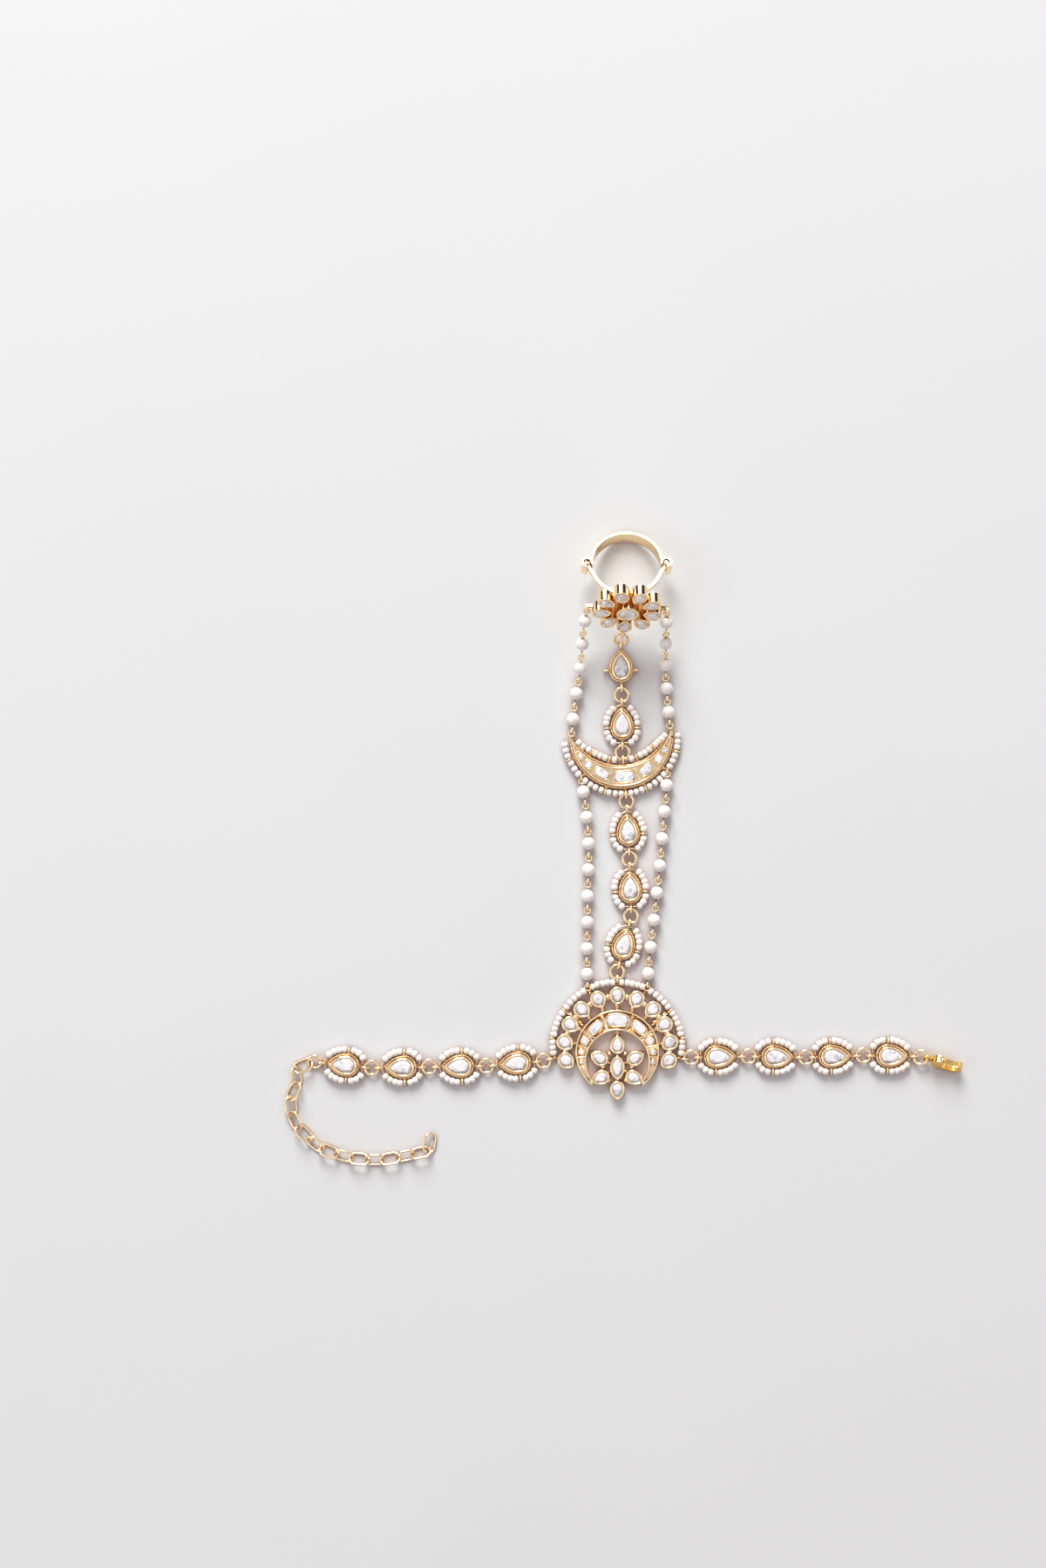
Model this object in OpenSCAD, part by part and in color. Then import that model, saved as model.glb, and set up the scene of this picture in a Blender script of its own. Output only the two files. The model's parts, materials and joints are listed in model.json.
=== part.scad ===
// Hand chain bracelet: a wrist row, a column over the back of the hand and a
// finger ring, laid open on a flat surface. Millimetres, +Z up. The origin is
// under the medallion's middle stone, on the surface that the piece lies on.

/* [Leaf links] */
// Length of a leaf link's cup, point included
leaf_l = 7.5; // [6.8:0.1:9]
// Width of a leaf link's cup
leaf_w = 5.2; // [4:0.1:5.6]
// Gap from a cup's edge to the middle of its end eye
eye_reach = 2.15; // [2:0.05:3]
// Leaf links in each half of the wrist row
wrist_links = 4; // [1:1:4]

/* [Cups and stones] */
// Height of every cup that lies flat
cup_h = 2.4; // [2:0.1:3.2]
// Wall of a cup, seen from above
cup_wall = 0.5; // [0.45:0.05:0.7]
// Floor of a cup, and height of the bars that join cups
cup_floor = 0.8; // [0.6:0.05:1]
// Clearance between a stone and its cup
stone_gap = 0.1; // [0.06:0.02:0.2]
// Rise of a stone's table above its cup's rim
stone_rise = 0.35; // [0.1:0.05:0.8]
// Width of the raised rim round the crescent and the moon
rim_w = 0.5; // [0.35:0.05:0.6]
// Height of that rim over the metal between the stones
rim_h = 0.35; // [0.2:0.05:0.5]
// Diameter of the solder beads between the border cups
solder_d = 1.5; // [1.3:0.1:1.7]

/* [Wire] */
// Wire of the end eyes
eye_wire = 0.7; // [0.5:0.05:0.8]
// Hole of the end eyes
eye_hole = 1.3; // [1.2:0.05:1.6]
// Wire of the side posts' loops
post_wire = 0.55; // [0.4:0.05:0.7]
// Hole of the side posts' loops
post_hole = 0.95; // [0.8:0.05:1.3]
// Gap from a cup's edge to the middle of a side post's loop
post_reach = 1.45; // [1.3:0.05:2]
// Width of the bars that carry eyes, posts and cups
bar_w = 0.8; // [0.6:0.05:1.2]
// Wire of a jump ring
jump_wire = 0.75; // [0.6:0.05:0.8]
// Outer diameter of a jump ring
jump_od = 4.4; // [4.2:0.1:5.4]

/* [Medallion] */
// Outer radius of the medallion's crescent
med_r = 11.3; // [10.8:0.1:12]
// Radius of the crescent's round hollow
med_hole_r = 8.4; // [8:0.1:8.6]
// How far the hollow's middle lies below the crescent's middle
med_drop = 2.66; // [2.3:0.1:3]
// Gap between the points of the crescent's two horns
horn_gap = 13.4; // [13:0.1:14]
// Height of the crescent's middle above the middle stone, along Y
med_up = 4.26; // [4:0.1:4.6]
// Length of the upright middle cup
heart_l = 6.8; // [6:0.1:7.2]
// Width of the upright middle cup
heart_w = 4.0; // [3.2:0.1:4.2]
// Length of a petal cup
petal_l = 5.1; // [4.6:0.1:5.3]
// Width of a petal cup
petal_w = 4.0; // [3.2:0.1:4.1]
// Length of a border cup
border_l = 4.9; // [4.5:0.1:5.2]
// Width of a border cup
border_w = 4.3; // [3.6:0.1:4.4]
// Angle between border cups
border_step = 20; // [19.5:0.25:20.5]
// Gap between the crescent and the topmost border cup
border_gap = 1.35; // [0.9:0.05:1.8]
// Reach of the posts beyond the border cups' middles
edge_reach = 3.5; // [3.3:0.1:4.2]
// Reach of the strands' loops beyond the border cups' middles
strand_reach = 4.0; // [3.8:0.1:4.6]

/* [Moon] */
// Outer radius of the moon
moon_r = 13.4; // [12.8:0.1:14]
// Radius of the moon's inner curve
moon_hole_r = 14.5; // [14.2:0.1:15.5]
// Width of the moon at its middle
moon_w = 5.3; // [5:0.1:6]
// Reach of the moon's posts and loops beyond its edges
moon_reach = 2.0; // [1.8:0.05:2.5]

/* [Finger ring] */
// Radius of the finger hole
finger_r = 9.0; // [8:0.1:10]
// Thickness of the ring's band
band_t = 0.7; // [0.5:0.05:1]
// Width of the ring's back band
band_w = 4.0; // [3:0.1:5]
// Width of the narrow strip behind the flower
strip_w = 1.6; // [1.2:0.1:2.2]
// Outer radius of the band's rolled ends
roll_r = 1.6; // [1.5:0.05:2]
// How far the rolls stand in over the band's outer face
roll_lap = 0.7; // [0.5:0.05:0.7]
// Radius of the hooked pins inside the rolled ends
roll_pin_r = 0.55; // [0.4:0.05:0.6]
// Gap between the strip and the backs of the flower's cups
gallery = 2.4; // [1.6:0.1:3]
// Diameter of the post that carries the flower
gallery_d = 4.4; // [3.6:0.1:5]
// Height of the flower's cups
flower_h = 3.0; // [2.6:0.1:3.6]
// Diameter of the flower's round middle cup
bud_d = 6.0; // [5.4:0.1:6.4]
// Rise of the middle cup above the petals
bud_rise = 0.8; // [0.4:0.1:1.2]
// Gap between the middle cup and the petals' points
bud_gap = 1.2; // [0.8:0.1:1.6]
// Petals of the flower
flower_n = 9; // [8:1:9]
// Length of a flower petal cup
flower_l = 5.2; // [4.6:0.1:5.6]
// Width of a flower petal cup
flower_w = 4.1; // [3.6:0.1:4.3]
// Reach of the flower's end eye beyond its petals
hook_reach = 2.1; // [1.9:0.05:2.5]
// Drop of that eye in front of the cups' backs
hook_drop = 2.0; // [1.7:0.1:2.3]
// Reach of the flower's side loops beyond its petals
side_reach = 1.3; // [1.1:0.05:1.6]
// Drop of those loops in front of the cups' backs
side_drop = 1.1; // [0.9:0.05:1.3]
// Lean of the ring: angle of its finger axis from upright
ring_lean = 30; // [25:0.5:32]

/* [Pearl strands] */
// Diameter of a pearl
pearl_d = 3.5; // [3:0.1:3.6]
// Drilled hole of a pearl
pearl_bore = 0.9; // [0.75:0.05:1.2]
// Wire of the pins through the pearls
pin_wire = 0.5; // [0.4:0.05:0.55]
// Hole of the pins' end loops
pin_hole = 1.0; // [0.95:0.05:1.05]

/* [Extension chain] */
// Wire of a chain link
chain_wire = 0.65; // [0.5:0.05:0.7]
// Inner length of a chain link
chain_in_l = 4.55; // [4.5:0.05:4.8]
// Outer width of a chain link
chain_w = 4.0; // [3.8:0.1:4.4]
// Distance from one chain link to the next
chain_pitch = 4.2; // [4.1:0.05:4.3]

/* [Clasp] */
// Length of the clasp's claw
claw_l = 8.4; // [7.5:0.1:9.5]
// Width of the clasp's claw
claw_w = 4.5; // [4.2:0.1:5]
// Thickness of the clasp
claw_t = 1.9; // [1.7:0.1:2.4]
// Width of metal round the claw's opening
claw_rim = 1.15; // [1.05:0.05:1.2]
// Length of the claw's solid heel
claw_heel = 3.3; // [3.1:0.1:3.5]
// Roll of the clasp about its length
claw_roll = 62; // [50:1:70]
// Clearance round the lever
lever_gap = 0.12; // [0.1:0.02:0.2]
// Radius of the lever's hinge pin
hinge_r = 0.3; // [0.25:0.05:0.35]
// Clearance between the hinge pin and the lever
pin_gap = 0.08; // [0.06:0.01:0.1]

/* [Hidden] */
$fn = 48;
LEFT = [for (i = [1:wrist_links]) str("link_left_", i)];
RIGHT = [for (i = [1:wrist_links]) str("link_right_", i)];
COLUMN = [for (i = [1:5]) str("link_column_", i)];
LINKS = concat(LEFT, RIGHT, COLUMN);

// How the piece was laid: headings in degrees, anticlockwise from +X, of each
// leaf link from the medallion outwards, and of the links of the free chain.
LEFT_TURNS = [185, 181, 181, 174];
RIGHT_TURNS = [1, -1, 2, -1];
COLUMN_TURNS = [76, 91.5, 93];
FINGER_TURNS = [91, 91];
LEFT_HOOK = 198;
RIGHT_HOOK = 12;
MOON_TURN = 4.6;
LAST_RING_TURN = 82;
CLASP_TURN = -16;
LAST_LEFT_ROLL = -24;
CHAIN_HOOK = -160;
CHAIN_TURNS = [-160, -85, -115, -85, -65, -45, -38, -20, -15, -7, 0, 9, 12, 12, 80];
CHAIN_ROLLS = [28, -45, 36, -36, 36, -36, 36, -36, 36, -36, 36, -36, 36, -42, 26];
// Bows of the strands at their joints: X, Y and Z off the straight line.
LOWER_LEFT_BOW = [[0, 0, 0], [0.3, 0, 0], [0.6, 0, 0], [0.9, 0, 0], [1.4, 0, 0], [1.4, 0, 0],
                  [0.9, 0, 0]];
LOWER_RIGHT_BOW = [[-0.2, 0, 0], [0, 0, 0], [0.2, 0, 0], [0.3, 0, 0], [0.3, 0, 0], [0.2, 0, 0],
                   [0.3, 0, 0]];
UPPER_LEFT_BOW = [[-0.1, 0.7, -2.1], [0.3, 1.0, -4.0], [0.3, 1.0, -4.0], [-0.2, 0.5, -2.4]];
UPPER_RIGHT_BOW = [[-0.4, 0.8, -2.1], [-0.6, 1.1, -3.8], [-0.4, 1.1, -3.7], [-0.3, 0.4, -2.0]];

GOLD = [0.90, 0.72, 0.42];
CLASP_GOLD = [0.88, 0.66, 0.26];
STONE = [0.93, 0.94, 0.97];
PEARL = [0.97, 0.95, 0.90];

eye_mid = (eye_hole + eye_wire) / 2;
eye_z = eye_mid + eye_wire / 2;
post_mid = (post_hole + post_wire) / 2;
post_lift = 0.15;
post_z = post_mid + post_wire / 2 + post_lift;
stem_r = bar_w / 2;
// How far a soldered bar runs into the piece that carries it
bite = 0.6;
jump_mid = (jump_od - jump_wire) / 2;
pin_mid = (pin_hole + pin_wire) / 2;
strand_z = pearl_d / 2;
// Two hooked pin loops pass each other with this gap between their wires.
loop_slack = 0.15;
loop_step = 2 * pin_mid - pin_wire - loop_slack;

function heading(a) = [cos(a), sin(a), 0];
function turned(p, a) = [p.x * cos(a) - p.y * sin(a), p.x * sin(a) + p.y * cos(a), p.z];
function flat(p, z) = [p.x, p.y, z];
function unit(v) = v / norm(v);

// Leaf links: rows of jump ring middles, one link pitch apart.
link_pitch = leaf_l + 2 * eye_reach + 2 * jump_mid;
function walk(start, turns, i) =
    i == 0 ? start : walk(start, turns, i - 1) + link_pitch * heading(turns[i - 1]);

// Medallion: places round the crescent's middle, angles from +Y.
med_mid = [0, med_up, 0];
function med_at(r, a) = med_mid + [r * sin(a), r * cos(a), 0];
function med_in_r(a) = -med_drop * cos(a) + sqrt(pow(med_hole_r, 2) - pow(med_drop * sin(a), 2));
// Border cups: how far each leans from pointing straight in, and how much of
// the top gap is left, from the topmost cup to the outermost.
BORDER_LEANS = [0, -5, -9, 5, 30, 52];
BORDER_GAPS = [1, 0.9, 0.75, 0.6, 0.4, 0.15];
function border_r(i) = med_r + border_gap * BORDER_GAPS[abs(i)] + border_l / 2;
ARM_ANGLE = 96;
arm_r = border_r(5) + border_w / 2 + eye_reach;
EDGE_POSTS = [52, 78];
STRAND_ANGLE = 25;
edge_r = border_r(3) + edge_reach;
strand_r = border_r(1) + strand_reach;
top_eye = med_at(border_r(0) + border_l / 2 + eye_reach, 0);
arm_left = med_at(arm_r, -ARM_ANGLE);
arm_right = med_at(arm_r, ARM_ANGLE);
// Petals: angle, distance from the middle as a share of petal length, aim.
PETALS = [[90, 1.22, 90], [28, 1.1, 27], [152, 1.1, 153],
          [-31, 1.05, -24], [211, 1.05, 204], [-90, 1.2, -90]];
// Crescent stones: angle, length and width as shares of the crescent there.
MED_CELLS = [[0, 1.14, 0.61], [42, 0.9, 0.51], [71, 0.55, 0.55], [90, 0.5, 0.5], [106, 0.46, 0.42]];

// The three rows start at the medallion's eyes.
left_start = arm_left + jump_mid * heading(LEFT_HOOK);
right_start = arm_right + jump_mid * heading(RIGHT_HOOK);
column_start = top_eye + jump_mid * heading(92);
left_end = walk(left_start, LEFT_TURNS, wrist_links);
right_end = walk(right_start, RIGHT_TURNS, wrist_links);
moon_hook = walk(column_start, COLUMN_TURNS, 3);

// Moon: its own frame has the lowest point of the outer curve at 0, 0.
moon_way = heading(90 + MOON_TURN);
moon_mid = moon_hook + (jump_mid + eye_reach) * moon_way;
finger_start = moon_mid + (moon_w + eye_reach + jump_mid) * moon_way;
function moon_place(p) = moon_mid + turned(p, MOON_TURN);
moon_off = moon_w + moon_hole_r - moon_r;
function moon_in_r(a) = -moon_off * cos(a) + sqrt(pow(moon_hole_r, 2) - pow(moon_off * sin(a), 2));
function moon_at(r, a) = [r * sin(a), moon_r - r * cos(a), 0];
moon_tip_angle =
    acos((pow(moon_hole_r, 2) - pow(moon_r, 2) - pow(moon_off, 2)) / (2 * moon_off * moon_r));
moon_tip_gap = 0.2;
moon_tip_bar = 1.6;
moon_tip_reach = pin_mid + pin_wire / 2 + moon_tip_gap;
moon_end_angle = moon_tip_angle + atan(moon_tip_reach / moon_r);
MOON_LOOP_ANGLE = 49;
MOON_POSTS = [21, 71];
MOON_IN_POSTS = [17, 40];
MOON_CELLS = [[0, 1.13, 0.6], [33, 0.95, 0.56], [55, 0.7, 0.66], [69, 0.68, 0.66]];

// Finger ring: hoop frame with the finger axis along Z and the flower at -Y,
// leant back by ring_lean so that the hoop's back edge meets the surface.
band_r = finger_r + band_t;
cup_back = band_r + gallery;
FLOWER_TURN = -95;
flower_r = bud_d / 2 + bud_gap + flower_l / 2;
flower_rim = flower_r + flower_l / 2;
hook_depth = cup_back + hook_drop;
hook_r = flower_rim + hook_reach;
side_r = flower_rim + side_reach;
side_depth = cup_back + side_drop;
SIDE_ANGLES = [-10, 184];
ring_z = band_r * sin(ring_lean) + band_w / 2 * cos(ring_lean);
function leant(p) =
    [p.x, p.y * cos(ring_lean) + p.z * sin(ring_lean), p.z * cos(ring_lean) - p.y * sin(ring_lean)];
finger_end = walk(finger_start, FINGER_TURNS, 2);
last_eye = flat(finger_end - jump_mid * heading(FINGER_TURNS[1]), eye_z);
hook_local = [hook_r * cos(FLOWER_TURN), -hook_depth, hook_r * sin(FLOWER_TURN)];
hook_z = ring_z + leant(hook_local).z;
hook_rise = asin((hook_z - eye_z) / (2 * jump_mid));
flower_hook = last_eye + 2 * jump_mid * [cos(hook_rise) * cos(LAST_RING_TURN),
                                         cos(hook_rise) * sin(LAST_RING_TURN), sin(hook_rise)];
ring_mid = flower_hook - leant(hook_local);
function ring_place(p) = ring_mid + leant(p);
function side_loop(a) = ring_place([side_r * cos(a), -side_depth, side_r * sin(a)]);

// Strands: loops that they hang between, and their joints.
med_loop_left = flat(med_at(strand_r, -STRAND_ANGLE), strand_z);
med_loop_right = flat(med_at(strand_r, STRAND_ANGLE), strand_z);
function moon_loop(s) = flat(moon_place(moon_at(moon_r + moon_reach, s * MOON_LOOP_ANGLE)), strand_z);
function moon_tip(s) = flat(moon_place(moon_at(moon_r, s * moon_end_angle)), strand_z);
function joints(a, b, bow) =
    let (n = len(bow) + 1,
         inner = [for (k = [1:n - 1])
             let (p = a + (b - a) * k / n + bow[k - 1]) [p.x, p.y, max(p.z, strand_z)]])
    concat([a + loop_step / 2 * unit(inner[0] - a)], inner,
           [b - loop_step / 2 * unit(b - inner[n - 2])]);
LOWER_LEFT = joints(med_loop_left, moon_loop(-1), LOWER_LEFT_BOW);
LOWER_RIGHT = joints(med_loop_right, moon_loop(1), LOWER_RIGHT_BOW);
UPPER_LEFT = joints(moon_tip(-1), side_loop(SIDE_ANGLES[1]), UPPER_LEFT_BOW);
UPPER_RIGHT = joints(moon_tip(1), side_loop(SIDE_ANGLES[0]), UPPER_RIGHT_BOW);

// Outlines: a leaf with its point at +X, an almond and an oval, each with its
// widest place at 0, 0, and the same outlines as distances along a ray.
function arc_r(tip, r) = (tip * tip + r * r) / (2 * r);
module leaf_2d(l, w, inset = 0) {
    r = w / 2;
    big = arc_r(l - r, r);
    circle(r - inset);
    intersection() {
        translate([0, r - big]) circle(big - inset);
        translate([0, big - r]) circle(big - inset);
        translate([0, -w]) square([l, 2 * w]);
    }
}
module almond_2d(l, w, inset = 0) {
    big = arc_r(l / 2, w / 2);
    intersection() {
        translate([0, w / 2 - big]) circle(big - inset);
        translate([0, big - w / 2]) circle(big - inset);
    }
}
module oval_2d(l, w, inset = 0) {
    if (l > w) {
        for (s = [-1, 1]) translate([s * (l - w) / 2, 0]) circle(w / 2 - inset);
        square([l - w, w - 2 * inset], center = true);
    } else circle(w / 2 - inset);
}
function leaf_ray(l, w, inset, a) =
    let (r = w / 2, big = arc_r(l - r, r))
    cos(a) < 0 ? r - inset
        : -(big - r) * abs(sin(a)) + sqrt(pow(big - inset, 2) - pow((big - r) * cos(a), 2));
function almond_ray(l, w, inset, a) =
    let (r = w / 2, big = arc_r(l / 2, r))
    -(big - r) * abs(sin(a)) + sqrt(pow(big - inset, 2) - pow((big - r) * cos(a), 2));
function oval_ray(l, w, inset, a) =
    let (r = w / 2 - inset, half = (l - w) / 2, s = abs(sin(a)), c = abs(cos(a)))
    r * c <= half * s ? r / s : half * c + sqrt(r * r - half * half * s * s);
function ray(kind, l, w, inset, a) =
    kind == "leaf" ? leaf_ray(l, w, inset, a)
    : kind == "almond" ? almond_ray(l, w, inset, a) : oval_ray(l, w, inset, a);

// A cut stone: keel, lower and upper girdle, crown and table are rings of
// points on the outline, joined by flat facets. Columns: share of the outline,
// turn in steps, and height from the cup's rim h.
STONE_SIDES = 12;
function stone_rings(h, floor_z, rise) =
    [[0.35, 0.5, floor_z + stone_gap - h], [1, 0, -0.75], [1, 0, -0.45], [0.86, 0.5, -0.05], [0.6, 0, rise]];
module stone(kind, l, w, inset, h, floor_z, rise = stone_rise) {
    n = STONE_SIDES;
    rings = stone_rings(h, floor_z, rise);
    points = [for (g = rings) for (k = [0:n - 1])
        let (a = (k + g[1]) * 360 / n, t = g[0] * ray(kind, l, w, inset, a))
        [t * cos(a), t * sin(a), h + g[2]]];
    top = (len(rings) - 1) * n;
    sides = [for (j = [0:len(rings) - 2]) let (turn = rings[j + 1][1] - rings[j][1])
        for (k = [0:n - 1])
            let (a = j * n + k, b = j * n + (k + 1) % n, c = a + n, d = b + n)
            each turn > 0 ? [[a, c, b], [b, c, d]] : [[a, d, b], [a, c, d]]];
    polyhedron(points, concat([[for (k = [0:n - 1]) k]], sides, [[for (k = [n - 1:-1:0]) top + k]]));
}

// Wire pieces
module torus(mid, wire) {
    rotate_extrude() translate([mid, 0]) circle(wire / 2, $fn = 24);
}
// An upright loop whose plane runs along X, on a bar from x0 at the surface
module eye(reach, x0) {
    translate([reach, 0, eye_z]) rotate([90, 0, 0]) torus(eye_mid, eye_wire);
    stem = reach - eye_mid;
    translate([x0, -bar_w / 2, 0]) cube([stem - x0, bar_w, cup_floor]);
    translate([stem, 0, 0]) cylinder(r = stem_r, h = eye_z);
}
module post(reach, x0) {
    translate([reach, 0, post_z]) rotate([90, 0, 0]) torus(post_mid, post_wire);
    stem = reach - post_mid;
    translate([x0, -bar_w / 2, 0]) cube([stem - x0, bar_w, cup_floor]);
    translate([stem, 0, 0]) cylinder(r = stem_r, h = post_z);
}
// A lying loop for a strand, carried from x0 by a bar and a short upright
module flat_loop(reach, x0) {
    translate([reach, 0, strand_z]) torus(pin_mid, pin_wire);
    stem = reach - pin_mid;
    translate([x0, -bar_w / 2, 0]) cube([stem - x0, bar_w, cup_floor]);
    translate([stem, 0, 0]) cylinder(r = stem_r, h = strand_z);
}
// An upright loop for a strand, its plane turned by a from the bar
module hung_loop(reach, x0, a) {
    translate([reach, 0, strand_z]) rotate([90, 0, a]) torus(pin_mid, pin_wire);
    translate([x0, -bar_w / 2, 0]) cube([reach - x0, bar_w, cup_floor]);
    translate([reach, 0, 0]) cylinder(r = stem_r, h = strand_z - pin_mid);
}
// A jump ring that passes through the middles of two eyes
module jump_ring(a, b) {
    d = b - a;
    translate((a + b) / 2) rotate([0, 0, atan2(d.y, d.x)]) rotate([0, -asin(d.z / norm(d)), 0])
        torus(jump_mid, jump_wire);
}

// Leaf link: a cup with an eye at each end and a post at each side
leaf_mid_x = jump_mid + eye_reach + leaf_w / 2;
function link_start(k) =
    k < wrist_links ? walk(left_start, LEFT_TURNS, k)
    : k < 2 * wrist_links ? walk(right_start, RIGHT_TURNS, k - wrist_links)
    : k < 2 * wrist_links + 3 ? walk(column_start, COLUMN_TURNS, k - 2 * wrist_links)
    : walk(finger_start, FINGER_TURNS, k - 2 * wrist_links - 3);
function link_turn(k) =
    k < wrist_links ? LEFT_TURNS[k]
    : k < 2 * wrist_links ? RIGHT_TURNS[k - wrist_links]
    : k < 2 * wrist_links + 3 ? COLUMN_TURNS[k - 2 * wrist_links]
    : FINGER_TURNS[k - 2 * wrist_links - 3];
module leaf_place(k) {
    translate(flat(link_start(k), 0)) rotate([0, 0, link_turn(k)]) translate([leaf_mid_x, 0, 0]) children();
}
module leaf_frame() {
    color(GOLD) {
        difference() {
            union() {
                linear_extrude(cup_h) leaf_2d(leaf_l, leaf_w);
                eye(leaf_l - leaf_w / 2 + eye_reach, leaf_l - leaf_w / 2 - cup_wall);
                rotate(180) eye(leaf_w / 2 + eye_reach, leaf_w / 2 - cup_wall);
                for (s = [90, -90]) rotate(s) post(leaf_w / 2 + post_reach, leaf_w / 2 - cup_wall);
            }
            translate([0, 0, cup_floor]) linear_extrude(cup_h) leaf_2d(leaf_l, leaf_w, cup_wall);
        }
    }
}
module leaf_stone() {
    color(STONE) stone("leaf", leaf_l, leaf_w, cup_wall + stone_gap, cup_h, cup_floor);
}

// Jump rings: lying flat through two eyes, but tilted where one is higher
module flat_rings(places) {
    color(GOLD) for (p = places) translate(flat(p, eye_z)) torus(jump_mid, jump_wire);
}
module jump_rings_left() {
    flat_rings([for (i = [0:wrist_links - 1]) walk(left_start, LEFT_TURNS, i)]);
    color(GOLD) translate(flat(left_end, eye_z)) rotate([0, 0, LEFT_TURNS[wrist_links - 1]])
        rotate([LAST_LEFT_ROLL, 0, 0]) torus(jump_mid, jump_wire);
}
module jump_rings_right() {
    flat_rings([for (i = [0:wrist_links - 1]) walk(right_start, RIGHT_TURNS, i)]);
    color(GOLD) jump_ring(last_right_eye, claw_eye);
}
module jump_rings_lower_column() {
    flat_rings([for (i = [0:3]) walk(column_start, COLUMN_TURNS, i)]);
}
module jump_rings_upper_column() {
    flat_rings([for (i = [0:1]) walk(finger_start, FINGER_TURNS, i)]);
    color(GOLD) jump_ring(last_eye, flower_hook);
}

// Medallion
module med_ray(a) { translate(med_mid) rotate([0, 0, 90 - a]) children(); }
module petal_places() {
    for (p = PETALS) rotate([0, 0, p[0]]) translate([p[1] * petal_l, 0, 0]) rotate([0, 0, p[2] - p[0]])
        translate([(petal_w - petal_l) / 2, 0, 0]) children();
}
module border_places() {
    for (i = [-5:5]) med_ray(i * border_step) translate([border_r(i), 0, 0])
        rotate([0, 0, 180 + sign(i) * BORDER_LEANS[abs(i)]]) translate([(border_w - border_l) / 2, 0, 0])
        children();
}
module crescent_2d(r, hole_r, drop, gap, inset = 0) {
    difference() {
        circle(r - inset);
        translate([0, -drop]) circle(hole_r + inset);
        translate([-gap / 2 - inset, -2 * r]) square([gap + 2 * inset, 2 * r - drop]);
    }
}
// Stone cells along the crescent: thickness there, then each cell's place
function med_cell_w(c) = med_r - med_in_r(c[0]);
module med_cell_places(c) {
    for (s = (c[0] == 0 ? [1] : [-1, 1])) med_ray(s * c[0])
        translate([med_r - med_cell_w(c) / 2, 0, 0]) rotate([0, 0, 90]) children();
}
module medallion_frame() {
    color(GOLD) {
        difference() {
            union() {
                linear_extrude(cup_h) {
                    translate(med_mid) crescent_2d(med_r, med_hole_r, med_drop, horn_gap);
                    rotate(90) almond_2d(heart_l, heart_w);
                    petal_places() leaf_2d(petal_l, petal_w);
                    border_places() leaf_2d(border_l, border_w);
                }
                // Solder beads between neighbouring cups
                for (i = [-4.5:4.5]) med_ray(i * border_step) translate([border_r(round(i)), 0, 0])
                    cylinder(d = solder_d, h = cup_h - solder_d / 4);
                // Bars from the crescent out to the border, in to the petals
                linear_extrude(cup_floor) {
                    for (i = [-5:5]) med_ray(i * border_step) translate([med_r - bite, -bar_w / 2])
                        square([border_r(i) - med_r, bar_w]);
                    for (p = PETALS) rotate(p[0]) translate([0, -bar_w / 2])
                        square([petal_l * p[1], bar_w]);
                    translate([-bar_w / 2, 0]) square([bar_w, med_up + med_in_r(0) + bite]);
                    for (k = [1, 2]) rotate(PETALS[k][0]) translate([0, -bar_w / 2])
                        square([med_hole_r, bar_w]);
                    for (s = [-1, 1]) med_ray(s * EDGE_POSTS[0]) translate([med_r - bite, -bar_w / 2])
                        square([edge_r - post_mid - med_r + bite, bar_w]);
                }
                for (s = [-1, 1]) {
                    for (a = EDGE_POSTS) med_ray(s * a) post(edge_r, border_r(3) + border_l / 4);
                    med_ray(s * STRAND_ANGLE) flat_loop(strand_r, border_r(2));
                    med_ray(s * ARM_ANGLE) eye(arm_r, border_r(5) + border_w / 4);
                }
                med_ray(0) eye(border_r(0) + border_l / 2 + eye_reach, border_r(0) + border_l / 2 - cup_wall);
            }
            translate([0, 0, cup_floor]) linear_extrude(cup_h) {
                rotate(90) almond_2d(heart_l, heart_w, cup_wall);
                petal_places() leaf_2d(petal_l, petal_w, cup_wall);
                border_places() leaf_2d(border_l, border_w, cup_wall);
                for (c = MED_CELLS) med_cell_places(c)
                    oval_2d(max(c[1], c[2]) * med_cell_w(c), c[2] * med_cell_w(c));
            }
            translate([0, 0, cup_h - rim_h]) linear_extrude(cup_h)
                translate(med_mid) crescent_2d(med_r, med_hole_r, med_drop, horn_gap, rim_w);
        }
    }
}
module medallion_petal_stones() {
    color(STONE) {
        rotate(90) stone("almond", heart_l, heart_w, cup_wall + stone_gap, cup_h, cup_floor);
        petal_places() stone("leaf", petal_l, petal_w, cup_wall + stone_gap, cup_h, cup_floor);
    }
}
module medallion_border_stones() {
    color(STONE) border_places()
        stone("leaf", border_l, border_w, cup_wall + stone_gap, cup_h, cup_floor);
}
module medallion_crescent_stones() {
    color(STONE) for (c = MED_CELLS) let (w = med_cell_w(c)) med_cell_places(c)
        stone("oval", max(c[1], c[2]) * w, c[2] * w, stone_gap, cup_h, cup_floor, 0);
}

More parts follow.
